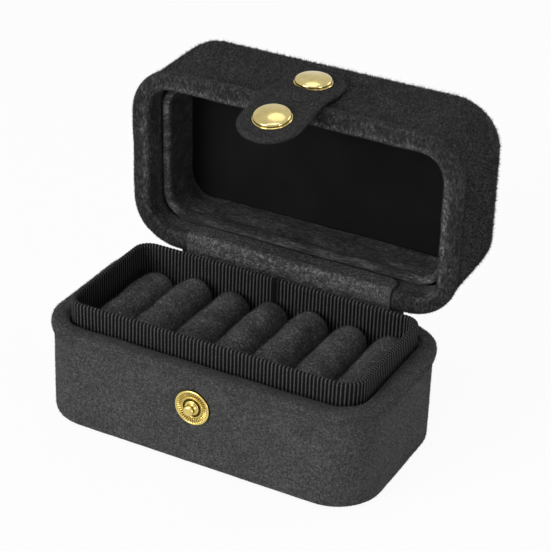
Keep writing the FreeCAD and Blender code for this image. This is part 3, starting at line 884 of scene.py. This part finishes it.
@dataclass
class Base:
    """The tub's velvet, its collar, rolls and stud."""

    # The base's rim gets a painted shade in the ledge beside the collar.
    half: CaseHalf = CaseHalf(CASE.base_height - CASE.panel_proud, CASE.base_lip, 1.4, ledge_shade=1.5)
    pile: Pile = Pile(13.0, 0.36, (0.4, 0.45, 0.15), GREY_PILE, 11, lean=(0.15, 0.0, -0.25), width=0.09)
    rim_pile: Pile = Pile(26.0, 0.48, (0.5, 0.38, 0.12), GREY_PILE, 12, unruly=0.7)
    collar_top: float = 36.9
    collar_wall: float = 1.5
    ribbon_down: float = 13.0
    ribbon_skin: float = 0.35
    ribbon_step: float = 0.8
    board_top: float = 18.53
    rib_pitch: float = 1.16
    rib_samples: float = 5.3
    rib_rise: float = 0.2
    seam_walk: float = 66.4
    roll_pitch: float = 12.7714
    roll_radius: float = 6.336
    roll_length: float = 40.2
    roll_axis: float = 24.564
    stuffing: tuple[Triple, ...] = (
        (-0.5, -0.3, 5.7), (1.2, 0.1, 6.1), (0.3, 0.2, 5.8), (0.7, 0.3, 5.8), (1.3, 0.4, 6.1),
        (0.6, 0.5, 5.8), (1.1, 0.6, 5.8),
    )
    roll_around: int = 80
    roll_along: int = 90
    card_faces: tuple[float, float] = (-0.38, -1.12)
    wall_fade: tuple[float, float] = (25.0, 29.0)
    rim_fade: tuple[float, float] = (25.5, 29.5)
    stud_height: float = 19.6

    def make(self) -> None:
        """Builds and dresses every piece of the base."""
        skin = self.half.skin(False, 3)
        skin.points[..., 2] = CASE.base_height - skin.points[..., 2]
        velvet = WARDROBE.wear(skin.build("base_velvet"), CASE_VELVET)
        placed(velvet, "base", "case_velvet", "base_cover")
        self.pile.cover("base_pile", velvet, self.outside, "base")
        self.rim_pile.cover("base_rim_pile", velvet, self.rim, "base")
        self.make_collar()
        self.make_card()
        for index in range(len(self.stuffing)):
            self.make_roll(index)
        placed(Stud().build(self.stud_height), "base", "gold_metal", "snap_stud")

    def outside(self, centre: Array, normal: Array) -> Array:
        """1 on the wall's outer face, fading out below the rim."""
        wall = (centre[:, 2] > 0.8) & (outward(centre, normal) > 0.3)
        return wall * (1 - ease(centre[:, 2], *self.wall_fade))

    def rim(self, centre: Array, normal: Array) -> Array:
        """1 on the rolled rim, fading out below it."""
        inside = outward(centre, normal) < -0.5
        return (~inside & (normal[:, 2] > -0.7)) * ease(centre[:, 2], *self.rim_fade)

    def make_collar(self) -> None:
        """The ribbon: a thin folded band whose ribs run up one face, over the top and down the other.

        The offset of the face gains rib_rise times the absolute sine of the distance walked, which
        wavers a little; a seam flattens the ribs beside it.
        """
        rail = COLLAR.rail(self.rib_pitch / self.rib_samples)
        wall, top, skin, board = self.collar_wall, self.collar_top, self.ribbon_skin, self.board_top
        low = top - self.ribbon_down
        path = rounded_path(
            [(0, low, 0), (0, top, 0.62), (-wall, top, 0.62), (-wall, board, 0), (skin - wall, board, 0),
             (skin - wall, top - skin, 0), (-skin, top - skin, 0), (-skin, low, 0)], self.ribbon_step, True)
        offset, height = path.T
        ribs = round(rail.length / self.rib_pitch)
        phase = np.pi * ribs * rail.walked / rail.length
        seam = hump(rail.walked, self.seam_walk, 0.8)[:, None]
        crest = np.abs(np.sin(phase + 0.12 * np.sin(rail.walked / 3.7)))[:, None] * (1 - 0.45 * seam)
        near = skin * 0.9
        inner = (offset < -near) & (offset > near - wall) & (height < top - near)
        along = unit(np.gradient(path, axis=0)) * ~inner[:, None]
        lift = self.rib_rise * (crest - 0.6) + 0.2 * seam
        points = swept(rail, offset + lift * along[:, 1], height - lift * along[:, 0])
        points += 0.06 * ripple(points, 21.0, 5)[..., None] * np.array([1, 1, 0.6])
        # The ribs' height becomes the tone: painted highlight on the crests, painted shade in the gaps.
        tones = np.broadcast_to(crest ** 1.9, points.shape[:2])
        patch = Patch(points, True, True, rail.length, len(path) * self.ribbon_step, tones)
        ribbon = WARDROBE.wear(patch.build("collar_binding", 0.001), Grosgrain())
        placed(ribbon, "base", "ribbon", "collar_ribbon")

    def make_card(self) -> None:
        """The card inside the ribbon, a plain upright band that follows the same corners."""
        low, top = self.board_top - 0.03, self.collar_top - 0.4
        front, rear = self.card_faces
        path = rounded_path([(front, low, 0), (front, top, 0), (rear, top, 0), (rear, low, 0)], 2.0, True)
        rail = COLLAR.rail(1.0)
        card = Patch(swept(rail, path[:, 0], path[:, 1]), True, True, rail.length, 40.0).build("collar_card")
        placed(WARDROBE.wear(card, CARD), "base", "board", "collar_core")

    def make_roll(self, index: int) -> None:
        """A padded roll: round in section, fuller above than below, drawn in towards the ends.

        The radius at v, from -1 to 1 along the roll, is the full one times (1 - |v|^7)^(1/4). The upper
        half of the section is stretched by the roll's own fullness.

        Args:
            index: the roll's place from the front, from 0.
        """
        fullness, shift, radius = self.stuffing[index]
        turn = full_turn(self.roll_around)[:, None]
        v = np.sin(np.linspace(-np.pi / 2, np.pi / 2, self.roll_along))[None]
        ends = (1 - np.abs(v) ** 7) ** (1 / 4)
        x, z = np.cos(turn), np.sin(turn)
        tall = radius + np.where(z > 0, fullness, self.roll_radius - radius)
        points = np.stack([radius * x * ends, self.roll_length / 2 * v + 0 * turn, tall * z * ends], -1)
        way = unit(points * np.array([1, 0, 1]))
        points[..., 0] += (index - (len(self.stuffing) - 1) / 2) * self.roll_pitch + shift
        points[..., 2] += self.roll_axis
        dent = 0.16 * ripple(points, 9.0, 20 + index) + 0.06 * ripple(points, 2.2, 40 + index)
        points += way * dent[..., None] * ends[..., None]
        number = index + 1
        roll = Patch(points, True, False, 2 * math.pi * self.roll_radius, self.roll_length).build(f"roll_{number}")
        WARDROBE.wear(roll, ROLL_VELVET)
        placed(roll, "base", "roll_velvet", f"ring_roll_{number}", f"ring_roll_core_{number}")
        fuzz = Pile(20.0, 0.5, (0.45, 0.4, 0.15), GREY_PILE, 60 + index, lean=(0.0, 0.3, 0.1))
        fuzz.cover(f"roll_pile_{number}", roll, self.upper, "base", "roll_velvet")

    def upper(self, centre: Array, normal: Array) -> Array:
        """1 on the part of a roll that shows, 0 elsewhere."""
        return ((normal[:, 2] > -0.2) & (np.abs(centre[:, 1]) < self.roll_length / 2 - 0.3)).astype(float)


@dataclass(frozen=True)
class Stud:
    """Ball-topped stud on a ringed, knurled flange."""

    ribs: int = 40
    segments: int = 280
    knurl: float = 0.15
    knurl_radius: float = 4.05
    dimple: float = 0.18

    def build(self, height: float) -> Piece:
        """Turns the stud's section; the knurl is a cosine round the axis, faded in and out along the radius.

        Args:
            height: the stud's axis above the floor.

        Returns:
            The dressed object, standing on the front wall.
        """
        path = rounded_path(
            [(0.0, -4.0, 0), (1.95, -4.0, 0), (1.95, -3.4, 0), (1.25, -3.4, 0), (1.25, 0.0, 0), (5.4, 0.0, 0.12),
             (5.4, 0.75, 0.3), (4.85, 0.92, 0.25), (4.6, 0.62, 0.1), (3.45, 0.42, 0.12), (3.3, 0.66, 0.1),
             (2.9, 0.7, 0.1), (2.7, 0.25, 0.12), (2.3, 0.22, 0.1), (2.15, 0.8, 0.15), (1.6, 0.95, 0.15),
             (1.25, 1.5, 0.2), (1.2, 1.95, 0.15), (1.65, 2.3, 0.25), (1.66, 3.2, 0.8), (0.0, 3.24, 0)], 0.06, False)
        patch = turned_patch(path, self.segments)
        radius, rise = path[:, 0][None], path[:, 1][None]
        tooth = np.cos(self.ribs * full_turn(self.segments)[:, None])
        band = hump(radius, self.knurl_radius, 0.6, 4) * (rise > 0.2)
        # Painted shade: the tones darken the stud low down by the flange, under the ball and between the knurl teeth.
        high = np.clip((rise - 0.35) / 0.4, 0, 1) * (1 - 0.7 * hump(rise, 1.7, 0.35))
        patch.tones = high * (1 - band) + band * (0.5 + 0.5 * tooth)
        patch.points[..., 2] += self.knurl * band * (0.3 + tooth)
        patch.points[..., 2] -= self.dimple * hump(radius, 0.0, 0.5) * (rise > 3.0)
        patch.points = stood_up(patch.points, -CASE.depth / 2, height)
        return WARDROBE.wear(patch.build("stud", 0.002), Gold("stud_gold", 0.2, True))


@dataclass
class Lid:
    """The lid's velvet and its lining, a soft roll and a wall."""

    # The lid's rim gets a painted highlight along its crest.
    half: CaseHalf = CaseHalf(CASE.lid_height, CASE.lid_lip, 2.4, crest_highlight=1.2)
    pile: Pile = Pile(12.0, 0.7, (0.5, 0.36, 0.14), DARK_PILE, 21, lean=(0.2, -0.1, 0.0), width=0.11)
    guard: Pile = Pile(2.2, 1.25, (0.7, 0.25, 0.05), DARK_PILE, 24, lean=(0.1, 0.0, 0.2), unruly=0.6, width=0.15)
    rim_pile: Pile = Pile(28.0, 0.45, (0.4, 0.38, 0.22), DARK_PILE, 22, unruly=0.7)
    lining_pile: Pile = Pile(14.0, 0.5, (0.45, 0.37, 0.18), DARK_PILE, 23, lean=(0.25, 0.1, 0.0))
    groove: float = 7.0
    liner_face: float = -7.2
    ceiling: float = 22.3
    lining_step: float = 0.4
    lining_end: float = 21.8
    wall_fade: tuple[float, float] = (1.5, 5.0)
    rim_fade: tuple[float, float] = (2.0, 5.0)

    def make(self) -> None:
        """Builds and dresses every piece of the lid."""
        skin = self.half.skin(True, 7)
        skin.points[..., 2] += CASE.lid_rim
        skin.points = to_open_lid(skin.points)
        velvet = WARDROBE.wear(skin.build("lid_velvet"), LID_VELVET)
        placed(velvet, "lid", "case_velvet", "lid_cover")
        self.pile.cover("lid_pile", velvet, self.outside, "lid")
        self.guard.cover("lid_guard_hairs", velvet, self.outside, "lid")
        self.rim_pile.cover("lid_rim_pile", velvet, self.rim, "lid")
        lining = WARDROBE.wear(self.lining().build("lid_lining_velvet"), LINING_VELVET)
        placed(lining, "lid", "case_velvet", "lid_lining", "lid_liner")
        self.lining_pile.cover("lid_lining_pile", lining, self.inner, "lid")

    @staticmethod
    def shut(centre: Array, normal: Array) -> tuple[Array, Array, Array]:
        """Open-lid faces turned back to the closed lid: outwardness, upwardness and depth from the rim."""
        c = turned_about_x(centre, CASE.hinge, CASE.open_angle)
        n = turned_about_x(normal, (0.0, 0.0), CASE.open_angle)
        return outward(c, n), n[:, 2], c[:, 2] - CASE.lid_rim

    def outside(self, centre: Array, normal: Array) -> Array:
        """1 on the outer wall and the far face, fading out towards the rim."""
        out, up, depth = self.shut(centre, normal)
        return ((out > 0.3) | ((up > 0.5) & (depth > 25))) * ease(depth, *self.wall_fade)

    def rim(self, centre: Array, normal: Array) -> Array:
        """1 on the rolled rim, fading out behind it."""
        out, up, depth = self.shut(centre, normal)
        return ((out > -0.95) & (up < 0.7)) * (1 - ease(depth, *self.rim_fade))

    def inner(self, centre: Array, normal: Array) -> Array:
        """1 on the lining's roll and inner wall, 0 behind them."""
        out, up, depth = self.shut(centre, normal)
        return ((out < -0.3) | (up < -0.3)).astype(float) * (depth < self.lining_end)

    def lining(self) -> Patch:
        """The lining: a soft roll that steps in behind the rim, then the liner's inner wall.

        Returns:
            The patch, in the open pose.
        """
        face, far, start, end = self.liner_face, self.liner_face - 0.45, self.groove, self.ceiling - 0.05
        near, back = -CASE.rim_width - 0.1, self.liner_face + 1.6
        path = rounded_path(
            [(face, end, 0), (face, start + 3.4, 0.8), (far, start + 2.2, 0.8), (far, start, 1.3), (near, start, 1.3),
             (near, start + 2.0, 0), (back, start + 2.0, 0), (back, end, 0)], self.lining_step, True)
        offset, depth = path.T
        rail = CASE_OUTLINE.rail(0.8)
        rough = swept(rail, offset, depth)
        soft = 0.1 * ripple(rough, 16.0, 9) + 0.05 * ripple(rough, 2.4, 10)
        points = swept(rail, offset + soft, depth + 0.5 * soft)
        points[..., 2] += CASE.lid_rim
        # Painted light and shade: the soft roll is painted lighter where it runs along the left and right sides, and
        # the walls are painted darker, except the rear wall, whose inner face looks up when the lid is open.
        roll = hump(depth, self.groove + 0.4, 1.5)
        painted_wall_shade = 0.9 * np.clip(rail.normals[:, 1:], 0, 1) ** 2 - 0.35
        lit = 0.3 + 0.9 * np.abs(rail.normals[:, :1])
        tones = np.broadcast_to(lit * roll + painted_wall_shade * (1 - roll), points.shape[:2])
        return Patch(to_open_lid(points), True, True, rail.length, self.lining_step * len(path), tones)


@dataclass
class Strap:
    """Velvet strap: its root on the lid, the fold over the rim and the tongue with the snap."""

    width: float = 19.2
    thickness: float = 1.6
    on_lid: float = 23.3
    reach: float = 21.8
    y: float = -30.4
    sheet_y: float = -30.1
    root_y: float = -28.9
    ramp_low: float = 2.4
    ramp_high: float = 10.5
    split: float = 2.0
    fold_length: float = 4.0
    fold_ease: float = 1.6
    flex_ease: float = 1.4
    droop: float = 10.0
    edge: float = 1.0
    snap_drop: float = 11.4
    rivet_rise: float = 13.7
    hole: float = 3.5
    clear_radius: float = 6.4
    step: float = 0.1
    tip_rows: int = 26
    rows: int = 40
    across: int = 40
    rays: tuple[int, int] = (70, 190)
    ray_points: int = 34
    pile: Pile = Pile(45.0, 0.45, (0.5, 0.35, 0.15), GREY_PILE, 31, unruly=0.7)

    def thick(self, e: Array) -> Array:
        """Half thickness at distance e inside the outline: a quarter round over the edge."""
        return self.thickness / 2 * np.sqrt(np.clip(1 - np.clip((self.edge - e) / self.edge, 0, 1) ** 2, 0, 1))

    def hang(self, points: Array) -> Array:
        """Closed tongue positions drooped about the rim and swung open with the lid."""
        return to_open_lid(turned_about_x(points, (self.y, CASE.lid_rim), self.droop))

    def faced(self, x: Array, y: Array, z: Array, way: tuple[Array, Array], lift: Array) -> Array:
        """The strap's two faces, a lift to either side of its middle sheet.

        Args:
            x, y, z: positions on the middle sheet, in the closed lid.
            way: the (y, z) direction along the strap.
            lift: half the thickness.

        Returns:
            (n, m, 3) positions, across the front and back along the rear.
        """
        front, rear = (
            np.stack([x, y + side * way[1] * lift, z - side * way[0] * lift], -1) for side in (1, -1)
        )
        points = np.concatenate([front, rear[:, ::-1]], 1)
        points[..., 1] -= 0.05 * ripple(points, 7.0, 33)
        return points

    def make(self) -> None:
        """Builds and dresses the strap and its metalwork."""
        root = WARDROBE.wear(self.root().build("strap_root_velvet"), STRAP_VELVET)
        tongue = WARDROBE.wear(self.tongue().build("strap_tongue_velvet"), STRAP_VELVET)
        root_fuzz = self.pile.grow("strap_root_pile", root)
        tongue_fuzz = self.pile.grow("strap_tongue_pile", tongue, self.clear_of_snap)
        flex = self.fold_length
        depths = (-self.fold_ease, self.fold_ease, flex - self.flex_ease, flex + self.flex_ease)
        spots = [np.array([0.0, self.y, CASE.lid_rim - depth]) for depth in depths]
        marks = [to_open_lid(spots[0]), *map(self.hang, spots[1:])]
        for piece in (root, root_fuzz):
            bent(piece, "lid", "fold", *marks[:2])
        for piece in (tongue, tongue_fuzz):
            bent(piece, "fold", "strap", *marks[2:])
        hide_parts("strap_root_face", "strap_root_core", "strap_root_lining", "strap_fold")
        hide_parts("strap_tongue_face", "strap_tongue_core", "strap_tongue_lining")
        half = self.thickness / 2
        rivet = Dome().build("rivet_dome", self.root_y - half, CASE.lid_rim + self.rivet_rise, to_open_lid)
        placed(rivet, "lid", "gold_metal", "strap_rivet")
        snap = Dome().build("snap_dome", self.sheet_y - half, CASE.lid_rim - self.snap_drop, self.hang)
        placed(snap, "strap", "gold_metal", "snap_cap")

    def clear_of_snap(self, centre: Array, normal: Array) -> Array:
        """0 on the tongue's rear face where the stud's flange comes to lie, 1 elsewhere."""
        height = CASE.lid_rim - self.snap_drop
        axis = self.hang(np.array([[0.0, self.y, height], [0.0, self.y + 1.0, height]]))
        inward = axis[1] - axis[0]
        away = centre - axis[0]
        away = away - (away @ inward)[:, None] * inward
        return 1.0 - ((normal @ inward > 0.3) & (np.linalg.norm(away, axis=1) < self.clear_radius))

    def root(self) -> Patch:
        """The root: a straight run, a ramp over the rim's bead and the start of the fold.

        Stations s run along the strap's middle line and u across it. The half width follows the round
        end's circle, and the faces stand half a thickness along the line's normal.

        Returns:
            The patch, in the open pose.
        """
        rim = CASE.lid_rim
        line = rounded_path(
            [(self.root_y, rim + self.on_lid, 0), (self.root_y, rim + self.ramp_high, 14.0),
             (self.sheet_y, rim + self.ramp_low, 8.0), (self.sheet_y, rim - self.split, 0)], self.step, False)
        length = self.step * (len(line) - 1)
        radius = self.width / 2
        tip = radius * (1 - np.cos(np.linspace(0, np.pi / 2, self.tip_rows)))
        s = np.concatenate([tip, np.linspace(radius, length, self.rows)[1:]])
        half = np.sqrt(np.clip(radius ** 2 - np.clip(radius - s, 0, None) ** 2, 0, None))[:, None]
        x = half * np.sin(np.linspace(-np.pi / 2, np.pi / 2, self.across))[None]
        s_column = s[:, None]
        to_end = np.where(s_column < radius, radius - np.hypot(x, radius - s_column), radius - np.abs(x))
        walked = np.linspace(0, length, len(line))
        columns = np.hstack([line, unit(np.gradient(line, axis=0))]).T
        y, z, wy, wz = (np.interp(s, walked, column)[:, None] for column in columns)
        points = self.faced(x, y, z, (wy, wz), self.thick(to_end))
        share = ease(CASE.lid_rim + self.fold_ease - points[..., 2:], 0.0, 2 * self.fold_ease)
        points = to_open_lid(points) * (1 - share) + self.hang(points) * share
        return Patch(points, False, True, length, 2 * self.width)

    def tongue(self) -> Patch:
        """The tongue: rays from the snap's axis run out to the outline, once on each face.

        A ray ends where it meets a straight side, the round tip or the line where the root begins.

        Returns:
            The patch, in the open pose.
        """
        radius, rise = self.width / 2, self.snap_drop - self.split
        low = self.reach - radius - self.snap_drop
        corner = math.atan2(rise, radius)
        above = np.linspace(corner, np.pi - corner, self.rays[0])[:-1]
        below = np.linspace(np.pi - corner, 2 * np.pi + corner, self.rays[1])[:-1]
        turn = np.concatenate([above, below])
        c, s = np.cos(turn), np.sin(turn)
        side = radius / np.maximum(np.abs(c), TINY)
        top = np.where(s > 0, rise / np.maximum(s, TINY), 1 / TINY)
        round_end = -low * s + np.sqrt(np.maximum(radius ** 2 - (low * c) ** 2, 0))
        ends = np.minimum(np.where(side * s < -low, round_end, side), top)[:, None]
        r = self.hole + (ends - self.hole) * np.sin(np.linspace(0, np.pi / 2, self.ray_points))[None]
        x, z = r * c[:, None], r * s[:, None]
        to_edge = np.where(z < -low, radius - np.hypot(x, z + low), radius - np.abs(x))
        lift = self.thick(np.maximum(to_edge, 0))
        points = self.faced(x, self.sheet_y, z + CASE.lid_rim - self.snap_drop, (0.0, -1.0), lift)
        return Patch(self.hang(points), True, True, 60.0, 2 * self.width)


@dataclass(frozen=True)
class Dome:
    """A gold dome: a shallow parabola, a round shoulder, a rolled edge and a hollow underside."""

    crown_radius: float = 4.9
    height: float = 2.2
    curve: float = 0.03
    shoulder: Triple = (4.69, 0.76, 0.75)
    rolled_edge: Triple = (5.5, 0.16, 0.25)
    hollow: float = 3.4
    barrel: float = 3.0
    ceiling: float = 0.75
    segments: int = 128

    @staticmethod
    def arc(circle: Triple, start: float, end: float, count: int) -> Array:
        """Points on a circle, given as (radius out, height, own radius), between two angles in degrees."""
        turn = np.radians(np.linspace(start, end, count))
        return np.stack([circle[0] + circle[2] * np.cos(turn), circle[1] + circle[2] * np.sin(turn)], 1)

    def build(self, name: str, face: float, height: float, place: Turn) -> Piece:
        """Turns the dome's section about its axis.

        Args:
            name: the piece's name.
            face: the strap's outer face, as y in the closed lid.
            height: the axis, as z in the closed lid.
            place: turns closed-lid positions into the open pose.

        Returns:
            The dressed object.
        """
        reach = np.linspace(0, self.crown_radius, 34)
        crown = np.stack([reach, self.height - self.curve * reach ** 2], 1)
        under = np.array([[self.hollow, 0.0], [self.hollow, -0.7], [self.barrel, -0.7],
                          [self.barrel, self.ceiling], [0.0, self.ceiling]])
        shoulder, rim = self.arc(self.shoulder, 73.6, -35, 18), self.arc(self.rolled_edge, 135, -90, 16)
        patch = turned_patch(np.concatenate([crown, shoulder, rim, under]), self.segments)
        patch.points = place(stood_up(patch.points, face, height))
        return WARDROBE.wear(patch.build(name, 0.002), Gold())


@dataclass
class Hinge:
    """The two cloths that join the halves: outside at the back, and inside as a velvet strip."""

    strip_width: float = 67.4
    strip_thickness: float = 0.8
    strip_corner: float = 3.5
    cloth_width: float = 74.0
    cloth_thickness: float = 0.45
    cloth_corner: float = 0.4
    cloth_gap: float = 0.05
    step: float = 0.25
    around: int = 176
    pile: Pile = Pile(30.0, 0.5, (0.4, 0.4, 0.2), GREY_PILE, 41, width=0.11)

    def make(self) -> None:
        """Builds and dresses both cloths."""
        y, z = CASE.hinge
        crevice = (COLLAR.depth / 2 + CASE.depth / 2 - CASE.rim_width) / 2
        rim = y - (CASE.hinge_rise - CASE.rim_gap)
        rest = z + CASE.rim_width + CASE.rim_bead + 0.5
        inner = [(crevice, 26.6, 0), (crevice, 31.4, 1.3), (rim - 0.55, z + 0.45, 1.3), (rim - 0.55, rest, 1.3),
                 (rim + 6.4, rest + 0.05, 0)]
        strip = self.sheet("hinge_strip_velvet", inner, self.strip_width, self.strip_thickness, self.strip_corner)
        cloth_y = y + self.cloth_gap + self.cloth_thickness / 2
        top = z - self.cloth_gap - self.cloth_thickness / 2
        outer = [(cloth_y, z - 4.9, 0), (cloth_y, top, 0.3), (y + 1.4, top, 0)]
        cloth = self.sheet("hinge_cloth_velvet", outer, self.cloth_width, self.cloth_thickness, self.cloth_corner)
        fuzz = self.pile.grow("hinge_strip_pile", strip)
        for piece, node, velvet in ((strip, "hinge_strip", HINGE_VELVET), (cloth, "hinge_cloth", STRAP_VELVET)):
            WARDROBE.wear(piece, velvet)
            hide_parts(node)
        strip_bend = np.array([[0, crevice, 30.9], [0, rim, rest - 1.6]])
        cloth_bend = np.array([[0, cloth_y, z - 1.2], [0, y + 1.3, top]])
        for piece, bend in ((strip, strip_bend), (fuzz, strip_bend), (cloth, cloth_bend)):
            bent(piece, "base", "lid", *bend)

    def sheet(self, name: str, path: list[Triple], width: float, thickness: float, corner: float) -> Piece:
        """A strip of cloth along a (y, z) path, with rounded edges and, at its far end, rounded corners.

        The half width at distance d from the far end is drawn in by the corner's circle.

        Args:
            name: the piece's name.
            path: (y, z, bend radius) corners.
            width: across X.
            thickness: of the cloth.
            corner: radius of the far corners.

        Returns:
            The mesh object, not yet dressed.
        """
        line = rounded_path(path, self.step, False)
        way = unit(np.gradient(line, axis=0))
        to_end = self.step * np.arange(len(line))[::-1]
        inset = corner - np.sqrt(np.clip(corner ** 2 - np.clip(corner - to_end, 0, None) ** 2, 0, None))
        half = (width / 2 - inset)[:, None]
        turn = full_turn(self.around)[None]
        x = half * np.sign(np.cos(turn)) * np.abs(np.cos(turn)) ** 0.9
        edge = np.clip((half - np.abs(x)) / (thickness / 2), 0, 1)
        ends = np.clip(np.minimum(to_end, to_end[::-1])[:, None] / (thickness / 2), 0.0, 1)
        lift = thickness / 2 * np.sign(np.sin(turn)) * np.sqrt(1 - (1 - edge) ** 2) * np.sqrt(1 - (1 - ends) ** 2)
        points = np.stack([x, line[:, :1] - way[:, 1:] * lift, line[:, 1:] + way[:, :1] * lift], -1)
        points[..., 1:] += 0.05 * ripple(points, 9.0, 50)[..., None] * 0.7
        return Patch(points, False, True, self.step * len(line), 2 * width).build(name)


class Solids:
    """Dresses the solids that stay in view."""

    SHELL = Matt("moulded_shell", 0.02, roughness=0.5)
    FOAM = Matt("foam", 0.10, grain=1300, relief=0.2)
    FINISHES = {
        "base_panel": Matt("underside_cloth", 0.02, grain=1600, relief=0.12),
        "base_shell": SHELL,
        "lid_shell": SHELL,
        "lid_ceiling_panel": Matt("flocked_ceiling", 0.0055, grain=2200, spread=0.35, roughness=0.95, relief=0.08),
        "base_rim_padding": FOAM,
        "lid_rim_padding": FOAM,
        "insert_pad": FOAM,
        "insert_board": CARD,
        "snap_spring": Matt("spring_wire", 0.6, roughness=0.25, metallic=1.0),
        "snap_socket": Gold(),
        "stud_washer": Gold(),
        "rivet_washer": Gold(),
    }

    def make(self) -> None:
        """Gives each remaining solid its finish."""
        for node, finish in self.FINISHES.items():
            WARDROBE.wear(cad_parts[node], finish)
        LOG.info("%d solids dressed", len(self.FINISHES))


# ---- studio
@dataclass(frozen=True)
class Camera:
    """Where the box is seen from: angles in degrees, distances in millimetres."""

    azimuth: float = 27.816
    elevation: float = 30.311
    roll: float = 2.251
    distance: float = 548.15
    lens: float = 125.6
    sensor: float = 36.0
    swing: float = 0.928
    tip: float = 1.528
    target: Triple = (0.0, 0.0, 31.5)

    def make(self) -> None:
        """Places the camera: backed off from the target, then swung, tipped and rolled."""
        a, e, turn = (math.radians(angle) for angle in (self.azimuth, self.elevation, self.roll))
        back = np.array([math.sin(a) * math.cos(e), -math.cos(a) * math.cos(e), math.sin(e)])
        right, above = self.square(-back)
        swing, tip = math.tan(math.radians(self.swing)), math.tan(math.radians(self.tip))
        ahead = unit(-back + swing * right + tip * above)
        right, above = self.square(ahead)
        c, s = math.cos(turn), math.sin(turn)
        axes = Matrix(np.stack([right * c + above * s, above * c - right * s, -ahead], 1).tolist())
        data = bpy.data.cameras.new("camera")
        data.lens, data.sensor_width = self.lens, self.sensor
        data.clip_start, data.clip_end = 0.01, 20.0
        camera = linked("camera", data)
        spot = Vector((np.array(self.target) + back * self.distance) * MM)
        camera.matrix_world = Matrix.Translation(spot) @ axes.to_4x4()
        bpy.context.scene.camera = camera

    @staticmethod
    def square(ahead: Array) -> tuple[Array, Array]:
        """The unit vectors to the right of and above a view direction."""
        right = unit(np.cross(ahead, np.array([0.0, 0.0, 1.0])))
        return right, np.cross(right, ahead)


@dataclass(frozen=True)
class Lamp:
    """One soft area lamp that faces the box."""

    name: str
    place: Triple
    size: float
    watts: float
    aim: Triple = (0.0, 0.0, 0.04)

    def make(self) -> None:
        """Adds the lamp, turned towards the box."""
        data = bpy.data.lights.new(self.name, "AREA")
        data.shape, data.size, data.energy = "DISK", self.size, self.watts
        lamp = linked(self.name, data)
        lamp.location = self.place
        lamp.rotation_euler = (Vector(self.aim) - Vector(self.place)).to_track_quat("-Z", "Y").to_euler()


@dataclass(frozen=True)
class Studio:
    """White surroundings, a white floor, four soft lamps and a small one that glints on the metal."""

    lamps: tuple[Lamp, ...] = (
        Lamp("key", (-0.38, -0.9, 0.42), 0.6, 8.8),
        Lamp("top", (0.0, -0.15, 1.1), 0.6, 4.2),
        Lamp("right", (1.0, -0.35, 0.11), 0.3, 2.4),
        Lamp("back", (0.65, 0.8, 0.5), 0.5, 2.6),
        Lamp("glint", (-0.26, 0.48, 1.04), 0.42, 0.62),
    )
    ambient: float = 0.14
    floor_half: float = 6.0
    floor_height: float = -0.0002
    floor_glow: float = 0.94

    def make(self) -> None:
        """Builds the lamps, the world, the floor and the view settings."""
        bpy.context.scene.view_settings.view_transform = "Standard"
        for lamp in self.lamps:
            lamp.make()
        self.world()
        self.floor()

    def world(self) -> None:
        """A white world that lights the box at the ambient level."""
        world = bpy.data.worlds.new("surroundings")
        world.use_nodes = True
        bpy.context.scene.world = world
        g = Graph(world.node_tree)
        level = g.add("MapRange", Value=g.seen(), To_Min=self.ambient, To_Max=1.0).outputs["Result"]
        g.feed(g.nodes["Background"], Strength=level, Color=(1, 1, 1, 1))

    def floor(self) -> None:
        """A wide white floor that keeps a faint shadow."""
        mesh = bpy.data.meshes.new("floor")
        half, z = self.floor_half, self.floor_height
        mesh.from_pydata([(-half, -half, z), (half, -half, z), (half, half, z), (-half, half, z)], [], [(0, 1, 2, 3)])
        g = Dye("floor")
        g.shade(Base_Color=(0.8, 0.8, 0.8, 1), Roughness=0.9, Specular_IOR_Level=0.0)
        share = g.math("MULTIPLY", g.seen(), self.floor_glow)
        mix = g.add("MixShader", share, g.shader.outputs[0], g.add("Emission").outputs[0])
        g.feed(g.nodes["Material Output"], Surface=mix.outputs[0])
        mesh.materials.append(g.material)
        linked("floor", mesh)


def main() -> None:
    """Builds the box from its sub-assemblies and sets it in the studio."""
    logging.basicConfig(level=logging.INFO)
    for part in (Base(), Lid(), Strap(), Hinge(), Solids(), Camera(), Studio()):
        part.make()
        LOG.info("%s done", type(part).__name__)


if __name__ == "__main__":
    main()
